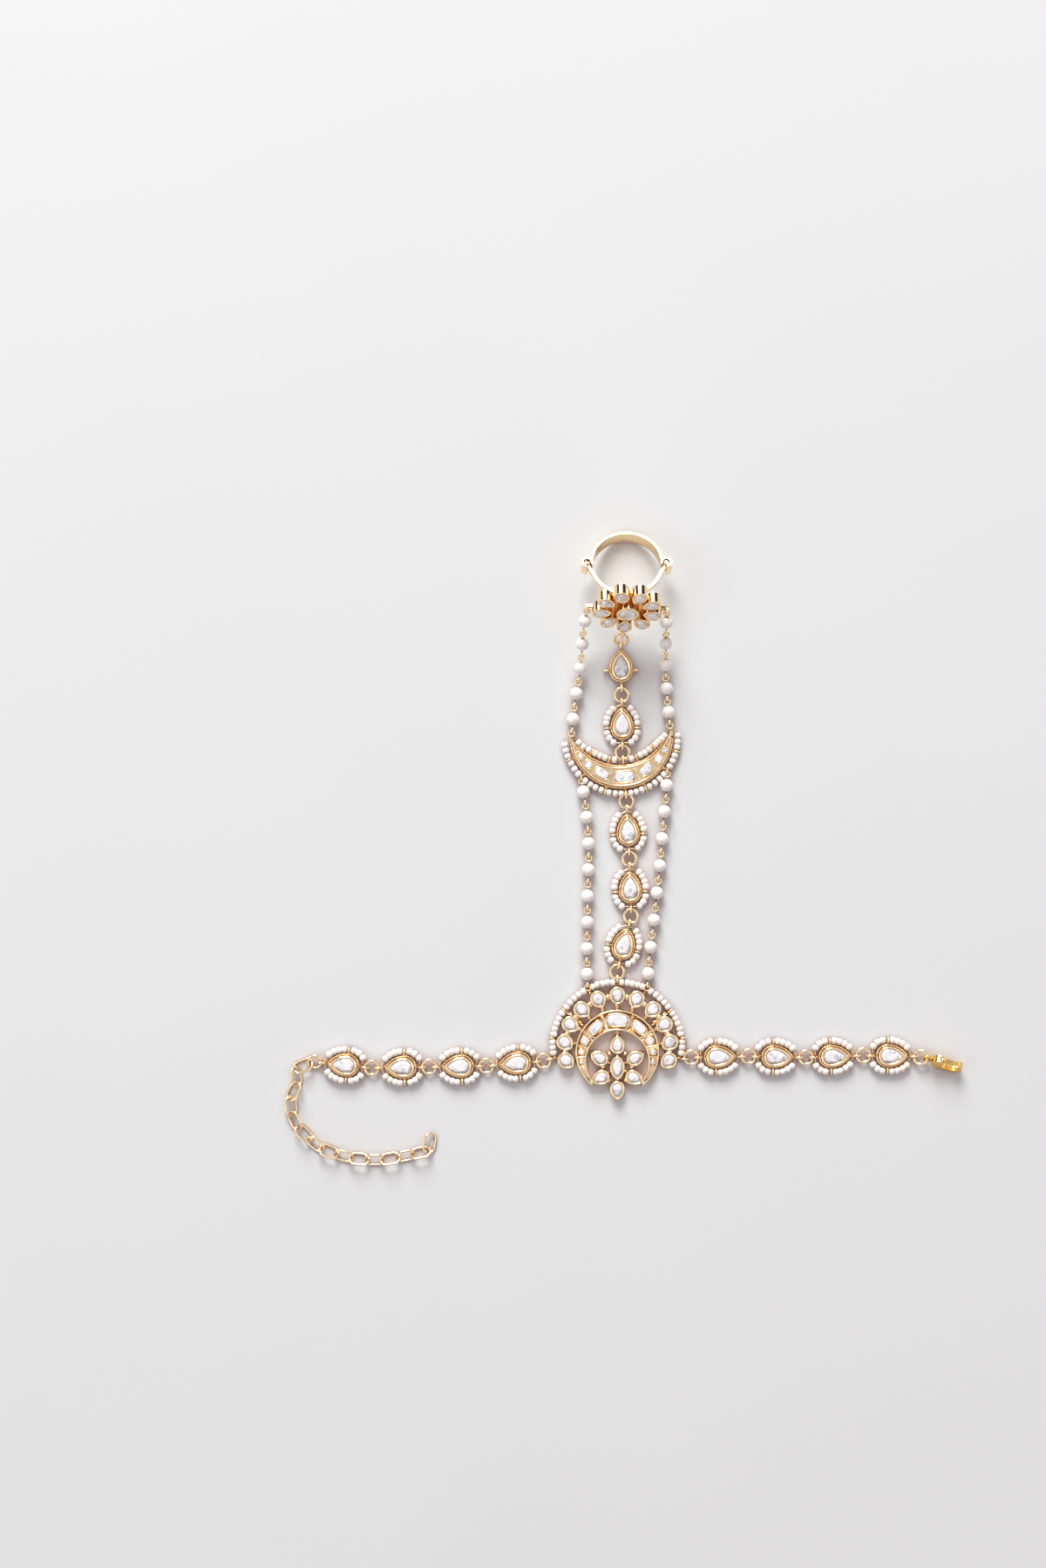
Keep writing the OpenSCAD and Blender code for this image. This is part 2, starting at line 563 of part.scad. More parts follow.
// Moon
module moon_set() { translate(moon_mid) rotate([0, 0, MOON_TURN]) children(); }
module moon_ray(a) { translate([0, moon_r, 0]) rotate([0, 0, a - 90]) children(); }
module moon_in_ray(a) { translate([0, moon_w + moon_hole_r, 0]) rotate([0, 0, a - 90]) children(); }
function moon_cell_w(c) = moon_r - moon_in_r(c[0]);
module moon_cell_places(c) {
    for (s = (c[0] == 0 ? [1] : [-1, 1])) moon_ray(s * c[0])
        translate([moon_r - moon_cell_w(c) / 2, 0, 0]) rotate([0, 0, 90]) children();
}
module moon_2d(inset = 0) {
    translate([0, moon_r]) difference() {
        circle(moon_r - inset);
        translate([0, moon_off]) circle(moon_hole_r + inset);
    }
}
module moon_frame() {
    color(GOLD) moon_set() {
        difference() {
            union() {
                linear_extrude(cup_h) moon_2d();
                moon_ray(0) eye(moon_r + eye_reach, moon_r - cup_wall);
                for (s = [-1, 1]) {
                    for (a = MOON_POSTS) moon_ray(s * a) post(moon_r + moon_reach, moon_r - bite);
                    moon_ray(s * MOON_LOOP_ANGLE)
                        hung_loop(moon_r + moon_reach, moon_r - bite, -s * MOON_LOOP_ANGLE);
                    moon_ray(s * moon_end_angle) translate([moon_r, 0, 0]) rotate([0, 0, s * 90])
                        flat_loop(0, -moon_tip_reach - moon_tip_bar);
                    for (a = MOON_IN_POSTS) moon_in_ray(s * a) mirror([1, 0, 0])
                        post(moon_reach - moon_hole_r, -moon_hole_r - bite);
                }
                translate([0, moon_w, 0]) rotate(90) eye(eye_reach, -cup_wall);
            }
            translate([0, 0, cup_floor]) linear_extrude(cup_h)
                for (c = MOON_CELLS) moon_cell_places(c)
                    oval_2d(max(c[1], c[2]) * moon_cell_w(c), c[2] * moon_cell_w(c));
            translate([0, 0, cup_h - rim_h]) linear_extrude(cup_h) moon_2d(rim_w);
        }
    }
}
module moon_stones() {
    color(STONE) moon_set() for (c = MOON_CELLS) let (w = moon_cell_w(c)) moon_cell_places(c)
        stone("oval", max(c[1], c[2]) * w, c[2] * w, stone_gap, cup_h, cup_floor, 0);
}

// Finger ring
module ring_set() { translate(ring_mid) rotate([-ring_lean, 0, 0]) children(); }
roll_x = band_r + roll_r - roll_lap;
roll_in = roll_r - band_t;
// Mouth of a rolled end: its half width, and its turn from straight out
roll_mouth = 0.75 * roll_in;
roll_tilt = 30;
// Where the band and the strip end, in degrees from the flower's cross line:
// the band in the wall of its rolled ends
band_end = asin((roll_r - band_t) / band_r);
STRIP_END = 14;
// Ring sector of the hoop between two angles, at most half a turn
module hoop_2d(a, b) {
    intersection() {
        difference() {
            circle(band_r, $fn = 96);
            circle(finger_r, $fn = 96);
        }
        rotate(a) translate([-2 * band_r, 0]) square([4 * band_r, 2 * band_r]);
        rotate(b - 180) translate([-2 * band_r, 0]) square([4 * band_r, 2 * band_r]);
    }
}
module ring_band() {
    color(GOLD) ring_set() linear_extrude(band_w, center = true) difference() {
        union() {
            hoop_2d(band_end, 180 - band_end);
            for (s = [-1, 1]) translate([s * roll_x, 0]) circle(roll_r, $fn = 32);
        }
        for (s = [-1, 1]) translate([s * roll_x, 0]) {
            circle(roll_in, $fn = 32);
            rotate(-90 - s * roll_tilt) translate([0, -roll_mouth]) square([2 * roll_r, 2 * roll_mouth]);
        }
    }
}
module flower_set() { ring_set() rotate([90, 0, 0]) translate([0, 0, cup_back]) children(); }
module flower_petals() {
    for (i = [0:flower_n - 1]) rotate(FLOWER_TURN + i * 360 / flower_n) translate([flower_r, 0, 0])
        rotate(180) translate([(flower_w - flower_l) / 2, 0, 0]) children();
}
module ring_flower() {
    color(GOLD) {
        // Narrow strip with a hooked pin at each end
        ring_set() {
            linear_extrude(strip_w, center = true) {
                hoop_2d(180 + STRIP_END, 360 - STRIP_END);
                for (s = [-1, 1]) translate([s * roll_x, 0]) rotate(-90 - s * roll_tilt)
                    translate([0, -band_t / 2]) square([2 * roll_r, band_t]);
            }
            for (s = [-1, 1]) translate([s * roll_x, 0])
                cylinder(r = roll_pin_r, h = band_w - band_t, center = true);
        }
        flower_set() {
            difference() {
                union() {
                    cylinder(d = bud_d, h = flower_h + bud_rise);
                    linear_extrude(flower_h) flower_petals() leaf_2d(flower_l, flower_w);
                    linear_extrude(cup_floor) {
                        circle(flower_r - bar_w);
                        rotate(FLOWER_TURN) translate([0, -bar_w / 2]) square([hook_r - eye_mid, bar_w]);
                        for (a = SIDE_ANGLES) rotate(a) translate([0, -bar_w / 2])
                            square([side_r + pin_wire / 2, bar_w]);
                    }
                }
                translate([0, 0, cup_floor]) {
                    cylinder(r = bud_d / 2 - cup_wall, h = 2 * flower_h);
                    linear_extrude(flower_h) flower_petals() leaf_2d(flower_l, flower_w, cup_wall);
                }
            }
            // Gallery post down to the strip
            translate([0, 0, -gallery - band_t / 2])
                cylinder(d = gallery_d, h = gallery + band_t / 2 + cup_floor / 2);
            rotate(FLOWER_TURN) translate([hook_r, 0, hook_drop]) rotate([90, 0, 0])
                torus(eye_mid, eye_wire);
            rotate(FLOWER_TURN) translate([hook_r - eye_mid, 0, 0])
                cylinder(r = stem_r, h = hook_drop);
            for (a = SIDE_ANGLES) rotate(a) translate([side_r, 0, side_drop])
                rotate([0, 90, 0]) torus(pin_mid, pin_wire);
        }
    }
}
module ring_flower_stones() {
    color(STONE) flower_set() {
        stone("oval", bud_d, bud_d, cup_wall + stone_gap, flower_h + bud_rise, cup_floor);
        flower_petals() stone("leaf", flower_l, flower_w, cup_wall + stone_gap, flower_h, cup_floor);
    }
}

// Strands: each pin has an upright loop, a straight shank and a lying loop
module along(a, b) {
    u = unit(b - a);
    translate(a) rotate([0, acos(u.z), atan2(u.y, u.x)]) children();
}
module strand_pins(j) {
    color(GOLD) for (i = [0:len(j) - 2]) along(j[i], j[i + 1]) {
        length = norm(j[i + 1] - j[i]);
        translate([0, 0, loop_step / 2]) rotate([90, 0, 0]) torus(pin_mid, pin_wire);
        translate([0, 0, length - loop_step / 2]) rotate([0, 90, 0]) torus(pin_mid, pin_wire);
        translate([0, 0, loop_step / 2 + pin_mid])
            cylinder(d = pin_wire, h = length - loop_step - 2 * pin_mid, $fn = 24);
    }
}
module strand_pearls(j) {
    color(PEARL) for (i = [0:len(j) - 2]) along(j[i], j[i + 1])
        translate([0, 0, norm(j[i + 1] - j[i]) / 2]) difference() {
            sphere(d = pearl_d);
            cylinder(d = pearl_bore, h = 2 * pearl_d, center = true, $fn = 24);
        }
}

// Extension chain: flat oval links, rolled to either side in turn
module chain_link() {
    bow = (chain_w - chain_wire) / 2;
    half = (chain_in_l + 2 * chain_wire - chain_w) / 2;
    for (s = [0, 180]) rotate(s) {
        translate([half, 0, 0]) rotate([0, 0, -90]) rotate_extrude(angle = 180)
            translate([bow, 0]) circle(chain_wire / 2, $fn = 24);
        translate([-half, bow, 0]) rotate([0, 90, 0]) cylinder(d = chain_wire, h = 2 * half, $fn = 24);
    }
}
hook_slack = 0.2;
function chain_joint(i) =
    i == 0 ? left_end + (jump_mid - jump_wire / 2 - hook_slack) * heading(CHAIN_HOOK)
           : chain_joint(i - 1) + chain_pitch * heading(CHAIN_TURNS[i - 1]);
function chain_z(roll) = chain_wire / 2 + (chain_w - chain_wire) / 2 * abs(sin(roll));
module extension_chain() {
    color(GOLD) for (i = [0:len(CHAIN_TURNS) - 1]) {
        at = (chain_joint(i) + chain_joint(i + 1)) / 2;
        translate(flat(at, chain_z(CHAIN_ROLLS[i])))
            rotate([0, 0, CHAIN_TURNS[i]]) rotate([CHAIN_ROLLS[i], 0, 0]) chain_link();
    }
}

// Clasp: a claw in its own XY plane, heel eye at 0, 0 and tip at +X
claw_eye_hole = 1.6;
claw_eye_wire = 0.8;
claw_eye_mid = (claw_eye_hole + claw_eye_wire) / 2;
claw_mid_x = claw_eye_mid + claw_l / 2;
claw_z = claw_w / 2 * sin(claw_roll) + claw_t / 2 * cos(claw_roll);
last_right_eye = flat(right_end - jump_mid * heading(RIGHT_TURNS[wrist_links - 1]), eye_z);
claw_rise = asin((claw_z - eye_z) / (2 * jump_mid));
claw_eye = last_right_eye + 2 * jump_mid * [cos(claw_rise) * cos(CLASP_TURN / 2),
                                            cos(claw_rise) * sin(CLASP_TURN / 2), sin(claw_rise)];
// Hinge: from the heel's end, and in from the claw's edge
hinge_in = 2.6;
hinge_edge = 0.15;
hinge_x = claw_mid_x - claw_l / 2 + hinge_in;
hinge_y = claw_w / 2 - claw_rim / 2 - hinge_edge;
knuckle_wall = 0.3;
knuckle_r = hinge_r + pin_gap + knuckle_wall;
gate_end = claw_mid_x + claw_l / 2 - claw_w / 2 + bite;
lever_t = claw_t * 0.45;
lever_w = 1.1;
module claw_set() { translate(claw_eye) rotate([0, 0, CLASP_TURN]) rotate([claw_roll, 0, 0]) children(); }
module claw_2d() {
    difference() {
        translate([claw_mid_x, 0]) oval_2d(claw_l, claw_w);
        translate([claw_mid_x + (claw_heel - claw_rim) / 2, 0])
            oval_2d(claw_l - claw_heel - claw_rim, claw_w - 2 * claw_rim);
    }
}
module clasp_body() {
    color(CLASP_GOLD) claw_set() difference() {
        union() {
            torus(claw_eye_mid, claw_eye_wire);
            linear_extrude(claw_t, center = true) claw_2d();
        }
        // Mouth that the lever closes, and the slot for its knuckle
        translate([hinge_x, 0, -claw_t]) cube([gate_end - hinge_x, claw_w, 2 * claw_t]);
        linear_extrude(lever_t + 2 * lever_gap, center = true) {
            translate([hinge_x, hinge_y]) circle(knuckle_r + lever_gap, $fn = 32);
            translate([hinge_x - knuckle_r - lever_gap, hinge_y]) square([2 * knuckle_r, claw_w]);
        }
    }
    color(CLASP_GOLD) claw_set() translate([hinge_x, hinge_y, 0])
        cylinder(r = hinge_r, h = claw_t, center = true, $fn = 32);
}
module clasp_lever() {
    color(CLASP_GOLD) claw_set() difference() {
        linear_extrude(lever_t, center = true) {
            translate([hinge_x, hinge_y]) circle(knuckle_r, $fn = 32);
            translate([hinge_x, hinge_y - lever_w / 2]) square([gate_end - lever_gap - hinge_x, lever_w]);
        }
        translate([hinge_x, hinge_y, 0])
            cylinder(r = hinge_r + pin_gap, h = 2 * claw_t, center = true, $fn = 32);
    }
}

medallion_frame();
medallion_petal_stones();
medallion_crescent_stones();
medallion_border_stones();
moon_frame();
moon_stones();
ring_band();
ring_flower();
ring_flower_stones();
for (k = [0:len(LINKS) - 1]) {
    leaf_place(k) leaf_frame();
    leaf_place(k) leaf_stone();
}
jump_rings_left();
jump_rings_right();
jump_rings_lower_column();
jump_rings_upper_column();
strand_pins(LOWER_LEFT);  // strand_lower_left_pins
strand_pearls(LOWER_LEFT);  // strand_lower_left_pearls
strand_pins(LOWER_RIGHT);  // strand_lower_right_pins
strand_pearls(LOWER_RIGHT);  // strand_lower_right_pearls
strand_pins(UPPER_LEFT);  // strand_upper_left_pins
strand_pearls(UPPER_LEFT);  // strand_upper_left_pearls
strand_pins(UPPER_RIGHT);  // strand_upper_right_pins
strand_pearls(UPPER_RIGHT);  // strand_upper_right_pearls
extension_chain();
clasp_body();
clasp_lever();
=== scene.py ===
import json
import math
import random

import bmesh
import bpy
from mathutils import Matrix, Vector
from mathutils.geometry import convex_hull_2d

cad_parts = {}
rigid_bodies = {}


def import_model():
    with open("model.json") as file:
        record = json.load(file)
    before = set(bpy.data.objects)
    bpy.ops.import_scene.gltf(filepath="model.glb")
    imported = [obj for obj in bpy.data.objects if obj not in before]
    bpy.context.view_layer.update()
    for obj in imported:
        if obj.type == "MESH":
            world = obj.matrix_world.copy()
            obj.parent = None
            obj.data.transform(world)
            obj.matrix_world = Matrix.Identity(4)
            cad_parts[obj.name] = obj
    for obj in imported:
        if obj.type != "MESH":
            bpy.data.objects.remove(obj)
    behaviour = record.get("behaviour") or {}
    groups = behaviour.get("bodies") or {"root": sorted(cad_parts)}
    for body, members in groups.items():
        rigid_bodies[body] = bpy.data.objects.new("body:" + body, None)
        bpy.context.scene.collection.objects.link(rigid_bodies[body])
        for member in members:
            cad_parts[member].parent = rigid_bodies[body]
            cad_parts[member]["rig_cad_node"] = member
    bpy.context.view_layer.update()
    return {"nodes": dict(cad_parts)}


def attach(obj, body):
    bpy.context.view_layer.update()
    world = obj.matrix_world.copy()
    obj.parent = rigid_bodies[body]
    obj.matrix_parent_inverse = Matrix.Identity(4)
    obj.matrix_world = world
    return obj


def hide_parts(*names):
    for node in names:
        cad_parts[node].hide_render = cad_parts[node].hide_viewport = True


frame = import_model()
nodes = frame["nodes"]
MM = 0.001

# ---- Leaf links: cups ----------------------------------------------------------------
# Thirteen leaf cups of cast and gilt brass with closed backs and rounded rims, each
# with an upright wire eye at each end and a small upright post loop at each side.
SIDES = ["left", "right"]
LINKS = [f"link_{side}_{i}" for side in SIDES for i in range(1, 5)]
LINKS += [f"link_column_{i}" for i in range(1, 6)]
CUP_TOP = 2.4 * MM
RIM_ROUND = 0.2 * MM
KEEP_OFF = 1.5 * MM
UP = Vector((0, 0, 1))
WELD = 0.001 * MM
LEVEL = 0.02 * MM
FLAT_TURN = math.radians(0.5)
SMOOTH_TURN = math.radians(38)
AO_SAMPLES = 6


def pick(*pieces):
    """Selects these pieces alone, with the last one active"""
    bpy.ops.object.select_all(action="DESELECT")
    for piece in pieces:
        piece.select_set(True)
    bpy.context.view_layer.objects.active = pieces[-1]


def welded(node, name, flatten=True):
    """A copy of a CAD node with its loose triangles welded and its curves smooth"""
    pick(nodes[node])
    bpy.ops.object.duplicate()
    piece = bpy.context.active_object
    piece.name = piece.data.name = name
    del piece["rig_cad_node"]
    bpy.ops.object.parent_clear(type="CLEAR_KEEP_TRANSFORM")
    bpy.ops.object.mode_set(mode="EDIT")
    bpy.ops.mesh.select_all(action="SELECT")
    bpy.ops.mesh.remove_doubles(threshold=WELD)
    if flatten:
        bpy.ops.mesh.dissolve_limited(angle_limit=FLAT_TURN)
    bpy.ops.object.mode_set(mode="OBJECT")
    bpy.ops.object.shade_smooth_by_angle(angle=SMOOTH_TURN)
    return piece


def round_rims(piece, heights, width=RIM_ROUND, up=UP, foot=Vector(), but=()):
    """Rounds the edges of the flat rims that face up at these heights over foot,
    but not near the places given"""
    pick(piece)
    bpy.ops.object.mode_set(mode="EDIT")
    bpy.ops.mesh.select_mode(type="FACE")
    bpy.ops.mesh.select_all(action="DESELECT")
    mesh = bmesh.from_edit_mesh(piece.data)
    for face in mesh.faces:
        rise = (face.calc_center_median() - foot).dot(up)
        near = min(abs(rise - rim) for rim in heights)
        face.select_set(face.normal.dot(up) > 0.999 and near < LEVEL)
    bmesh.update_edit_mesh(piece.data)
    bpy.ops.mesh.region_to_loop()
    mesh = bmesh.from_edit_mesh(piece.data)
    for edge in mesh.edges:
        middle = (edge.verts[0].co + edge.verts[1].co) / 2
        if edge.select and any((middle.xy - place.xy).length < KEEP_OFF for place in but):
            edge.select_set(False)
    bmesh.update_edit_mesh(piece.data)
    bpy.ops.mesh.bevel(offset=width, segments=3, affect="EDGES")
    bpy.ops.object.mode_set(mode="OBJECT")
    bpy.ops.object.shade_smooth_by_angle(angle=SMOOTH_TURN)


def new_material(name):
    """A new material, its node tree and its shader"""
    material = bpy.data.materials.new(name)
    material.use_nodes = True
    return material, material.node_tree, material.node_tree.nodes["Principled BSDF"]


def dial(node, settings):
    """Sets a node's unlinked inputs to these values"""
    for socket, value in settings.items():
        node.inputs[socket].default_value = value


def new_group(name, inputs, outputs):
    """A new node group with these sockets, its input node and its output node"""
    tree = bpy.data.node_groups.new(name, "ShaderNodeTree")
    for side, sockets in (("INPUT", inputs), ("OUTPUT", outputs)):
        for label, kind in sockets.items():
            tree.interface.new_socket(label, in_out=side, socket_type="NodeSocket" + kind)
    return tree, tree.nodes.new("NodeGroupInput"), tree.nodes.new("NodeGroupOutput")


def placed(tree, group, settings):
    """A node group placed in a material, with its own values"""
    node = tree.nodes.new("ShaderNodeGroup")
    node.node_tree = group
    dial(node, settings)
    return node


def gilding_group():
    """Gilding: bright on the open faces, darkened by painted shade in the corners, faintly uneven
    """
    tree, given, out = new_group(
        "gilding", {"Bright": "Color", "Painted_Shade": "Color", "Reach": "Float", "Rough": "Float"},
        {"Color": "Color", "Roughness": "Float", "Normal": "Vector"})
    add, link = tree.nodes.new, tree.links.new
    place = add("ShaderNodeTexCoord")
    # Painted shade: the dark tone is mixed in where nearby faces hem the metal in
    corner_shade = add("ShaderNodeAmbientOcclusion")
    corner_shade.samples = AO_SAMPLES
    link(given.outputs["Reach"], corner_shade.inputs["Distance"])
    open_face = add("ShaderNodeMapRange")
    dial(open_face, {"From Min": 0.2, "From Max": 0.88})
    link(corner_shade.outputs["AO"], open_face.inputs["Value"])
    cloud = add("ShaderNodeTexNoise")
    dial(cloud, {"Scale": 420, "Detail": 3})
    link(place.outputs["Object"], cloud.inputs["Vector"])
    shade = add("ShaderNodeMix")
    shade.data_type = "RGBA"
    link(open_face.outputs["Result"], shade.inputs["Factor"])
    link(given.outputs["Painted_Shade"], shade.inputs["A"])
    link(given.outputs["Bright"], shade.inputs["B"])
    tint = add("ShaderNodeMapRange")
    dial(tint, {"From Min": 0.3, "From Max": 0.7, "To Min": 0.88, "To Max": 1.06})
    link(cloud.outputs["Fac"], tint.inputs["Value"])
    blend = add("ShaderNodeVectorMath")
    blend.operation = "SCALE"
    link(shade.outputs["Result"], blend.inputs[0])
    link(tint.outputs["Result"], blend.inputs["Scale"])
    link(blend.outputs["Vector"], out.inputs["Color"])
    rough = add("ShaderNodeMath")
    rough.operation = "MULTIPLY_ADD"
    dial(rough, {1: 0.1})
    link(cloud.outputs["Fac"], rough.inputs[0])
    link(given.outputs["Rough"], rough.inputs[2])
    link(rough.outputs["Value"], out.inputs["Roughness"])
    pits = add("ShaderNodeTexNoise")
    dial(pits, {"Scale": 1600, "Detail": 2})
    link(place.outputs["Object"], pits.inputs["Vector"])
    bump = add("ShaderNodeBump")
    dial(bump, {"Strength": 0.1, "Distance": 0.06 * MM})
    link(pits.outputs["Fac"], bump.inputs["Height"])
    link(bump.outputs["Normal"], out.inputs["Normal"])
    return tree


gilding = gilding_group()


def gilt(name, bright, shade_tone, rough, reach=0.9 * MM):
    """Polished gilt brass in its bright tone, with painted shade of the second tone in its
    corners
    """
    material, tree, shader = new_material(name)
    coat = placed(tree, gilding, {"Bright": (*bright, 1), "Painted_Shade": (*shade_tone, 1),
                                  "Reach": reach, "Rough": rough})
    tree.links.new(coat.outputs["Color"], shader.inputs["Base Color"])
    tree.links.new(coat.outputs["Roughness"], shader.inputs["Roughness"])
    tree.links.new(coat.outputs["Normal"], shader.inputs["Normal"])
    dial(shader, {"Metallic": 1})
    return material


# The second colour is painted shade for the corners and the gaps between cups
gold = gilt("polished_gold", (1.0, 0.77, 0.49), (0.44, 0.19, 0.06), 0.07)


def settle(piece, material, slot, *replaced, body="bracelet"):
    """Gives a finished piece its material and its body, and hides the nodes it stands for"""
    piece.data.materials.clear()
    piece.data.materials.append(material)
    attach(piece, body)
    if replaced:
        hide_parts(*replaced)


for link_name in LINKS:
    cup = welded(link_name, link_name + "_cup")
    round_rims(cup, [CUP_TOP])
    settle(cup, gold, "gold", link_name)

# ---- Cut stones ----------------------------------------------------------------------
# Clear glass stones with flat facets, foiled white behind. The bright and grey patches of light
# that they throw back are painted into their colour as a pattern of small cells. The CAD solids
# have the facets.
STONES = [name + "_stone" for name in LINKS] + [
    "medallion_petal_stones", "medallion_crescent_stones", "medallion_border_stones",
    "moon_stones", "ring_flower_stones"]
stone_glass, tree, shader = new_material("foiled_glass_painted_flashes")
place = tree.nodes.new("ShaderNodeTexCoord")
flash_cells = tree.nodes.new("ShaderNodeTexVoronoi")
dial(flash_cells, {"Scale": 900})
tree.links.new(place.outputs["Object"], flash_cells.inputs["Vector"])
grey = tree.nodes.new("ShaderNodeSeparateColor")
tree.links.new(flash_cells.outputs["Color"], grey.inputs["Color"])
# Painted reflection: each cell is coloured white or grey, in place of the light the facets throw
# back
painted_flashes = tree.nodes.new("ShaderNodeValToRGB")
painted_flashes.color_ramp.interpolation = "CONSTANT"
painted_flashes.color_ramp.elements[0].color = (0.66, 0.67, 0.69, 1)
painted_flashes.color_ramp.elements[1].position = 0.12
painted_flashes.color_ramp.elements[1].color = (0.90, 0.91, 0.93, 1)
for spot, tone in [(0.35, 1.0), (0.8, 0.93)]:
    step = painted_flashes.color_ramp.elements.new(spot)
    step.color = (tone, tone, tone, 1)
tree.links.new(grey.outputs["Red"], painted_flashes.inputs["Fac"])
tree.links.new(painted_flashes.outputs["Color"], shader.inputs["Base Color"])
dial(shader, {"Metallic": 0.15, "Roughness": 0.06, "IOR": 1.6, "Coat Weight": 0.6,
              "Coat Roughness": 0.02})
for name in STONES:
    for slot in nodes[name].material_slots:
        slot.material = stone_glass

# ---- Burnished lips ------------------------------------------------------------------
# The thin inner edge of every cup, pushed over its stone with a burnisher. On the
# two crescents, whose floor is sunk, it stands as a fine collar round each stone.
LIP_R = 0.17 * MM
BROAD_LIP_R = 0.32 * MM
COLLAR_R = 0.22 * MM
LIP_OUT = 0.1 * MM
GIRDLE_DROP = 0.45 * MM
FLOOR_DROP = 0.12 * MM
GIRDLE_ROW = 2
SHARP_TURN = math.radians(62)
CLOSED_STEPS, OPEN_STEPS = 3, 4
WIRE_ROUNDNESS = 2


def girdles(node, way):
    """The widest outline of every stone in a node, each as points in order"""
    mesh = bmesh.new()
    mesh.from_mesh(nodes[node].data)
    bmesh.ops.remove_doubles(mesh, verts=mesh.verts, dist=WELD)
    left, outlines = set(mesh.verts), []
    while left:
        stone, edge = set(), {left.pop()}
        while edge:
            stone |= edge
            edge = {e.other_vert(v) for v in edge for e in v.link_edges} - stone
        left -= stone
        levels = sorted({round(v.co.dot(way) / MM, 2) for v in stone})
        girdle = levels[GIRDLE_ROW] * MM
        ring = sorted((v.co.copy() for v in stone if abs(v.co.dot(way) - girdle) < LEVEL),
                      key=tuple)
        middle = sum(ring, Vector()) / len(ring)
        east = (ring[0] - middle).normalized()
        north = way.cross(east)
        ring.sort(key=lambda c: math.atan2((c - middle).dot(north), (c - middle).dot(east)))
        outlines.append(ring)
    mesh.free()
    outlines.sort(key=lambda ring: (round(ring[0].x, 5), round(ring[0].y, 5)))
    return outlines


def joined(pieces, name):
    """These pieces as one, under this name"""
    pick(*pieces)
    if len(pieces) > 1:
        bpy.ops.object.join()
    piece = bpy.context.active_object
    piece.name = piece.data.name = name
    return piece


def round_wire(name, runs, radius, closed=False):
    """Round wire through the points of each run, joined into one piece; a closed wire
    has a corner where its run is sharp"""
    wires = []
    for points in runs:
        if closed:
            bpy.ops.curve.primitive_bezier_circle_add()
        else:
            bpy.ops.curve.primitive_bezier_curve_add()
        wire = bpy.context.active_object
        wire.data.dimensions = "3D"
        line = wire.data.splines[0]
        line.bezier_points.add(len(points) - len(line.bezier_points))
        for i, (knot, point) in enumerate(zip(line.bezier_points, points)):
            ahead, behind = points[(i + 1) % len(points)] - point, point - points[i - 1]
            sharp = closed and ahead.angle(behind) > SHARP_TURN
            knot.co = point
            knot.handle_left_type = knot.handle_right_type = "VECTOR" if sharp else "AUTO"
        line.resolution_u = CLOSED_STEPS if closed else OPEN_STEPS
        wire.data.bevel_depth = radius
        wire.data.bevel_resolution = WIRE_ROUNDNESS
        wire.data.use_fill_caps = not closed
        bpy.ops.object.convert(target="MESH")
        wires.append(bpy.context.active_object)
    piece = joined(wires, name)
    bpy.ops.object.transform_apply()
    bpy.ops.object.shade_smooth()
    return piece


RING_LEAN = math.radians(30)
FLOWER_WAY = Vector((0, -math.cos(RING_LEAN), math.sin(RING_LEAN)))
for node in STONES:
    way = FLOWER_WAY if "flower" in node else UP
    sunk = node in ("medallion_crescent_stones", "moon_stones")
    radius = COLLAR_R if sunk else BROAD_LIP_R if "flower" in node else LIP_R
    lift = GIRDLE_DROP - (radius + FLOOR_DROP if sunk else radius)
    outlines = []
    for ring in girdles(node, way):
        middle = sum(ring, Vector()) / len(ring)
        outlines.append([p + way * lift + (p - middle).normalized() * LIP_OUT for p in ring])
    lip = round_wire(node.replace("stone", "lip"), outlines, radius, closed=True)
    settle(lip, gold, "gold")

# ---- Leaf links: seed bead edging ----------------------------------------------------
# Fourteen ivory glass seed beads round each leaf cup but the last of the column,
# threaded on fine gilt wire that starts at the eyes and runs through the post loops.
BEAD_HEIGHT = 1.2 * MM
BEAD_R = 0.95 * MM
BEAD_WALL = 0.44 * MM
BEAD_LENGTH = 1.46 * MM
WIRE_R = 0.13 * MM
# Places along and across from the cup's widest place, in millimetres
TIP_BEADS = [(1.25, 4.2), (2.6, 3.9), (3.95, 3.3), (5.15, 2.4)]
HEEL_BEADS = [(-1.35, 4.1), (-2.75, 3.5), (-3.9, 2.45)]
POST = (0, 4.05)
TIP_END, HEEL_END = (6.15, 0.3), (-4.05, 0.5)
LINK_BEADS = [1, 2, 3, 4, 6, 7, 8]
LINK_BEAD_LONG = 1.1
BEAD_LEAN = 0.12
BEAD_SHIFT = 0.06 * MM
BEAD_SIZES = (0.94, 1.04)


def leaf_seat(stone):
    """Place of a leaf link from its stone: origin at the widest place, +X to the tip"""
    corners = [v.co for v in nodes[stone].data.vertices]
    top = max(c.z for c in corners)
    table = [c for c in corners if c.z > top - WELD]
    heel, tip = max(((a, b) for a in table for b in table), key=lambda ab: (ab[1] - ab[0]).length)
    length = (tip - heel).length
    along = (tip - heel) / length
    across = UP.cross(along)
    wide = max(table, key=lambda c: abs((c - heel).dot(across)))
    middle = (wide - heel).dot(along)
    if middle > length / 2:
        heel, along, across, middle = tip, -along, -across, length - middle
    seat = Matrix((along, across, UP)).transposed().to_4x4()
    seat.translation = heel + middle * along
    seat.translation.z = 0
    return seat


def set_out(pattern, places, name):
    """Copies of a pattern at these places, joined into one piece"""
    copies = []
    for place in places:
        one = pattern.copy()
        one.data = pattern.data.copy()
        one.data.transform(place)
        bpy.context.collection.objects.link(one)
        copies.append(one)
    return joined(copies, name)


def facing(point, way):
    """Place at a point with its own Z along a direction"""
    return Matrix.Translation(point) @ way.to_track_quat("Z", "Y").to_matrix().to_4x4()


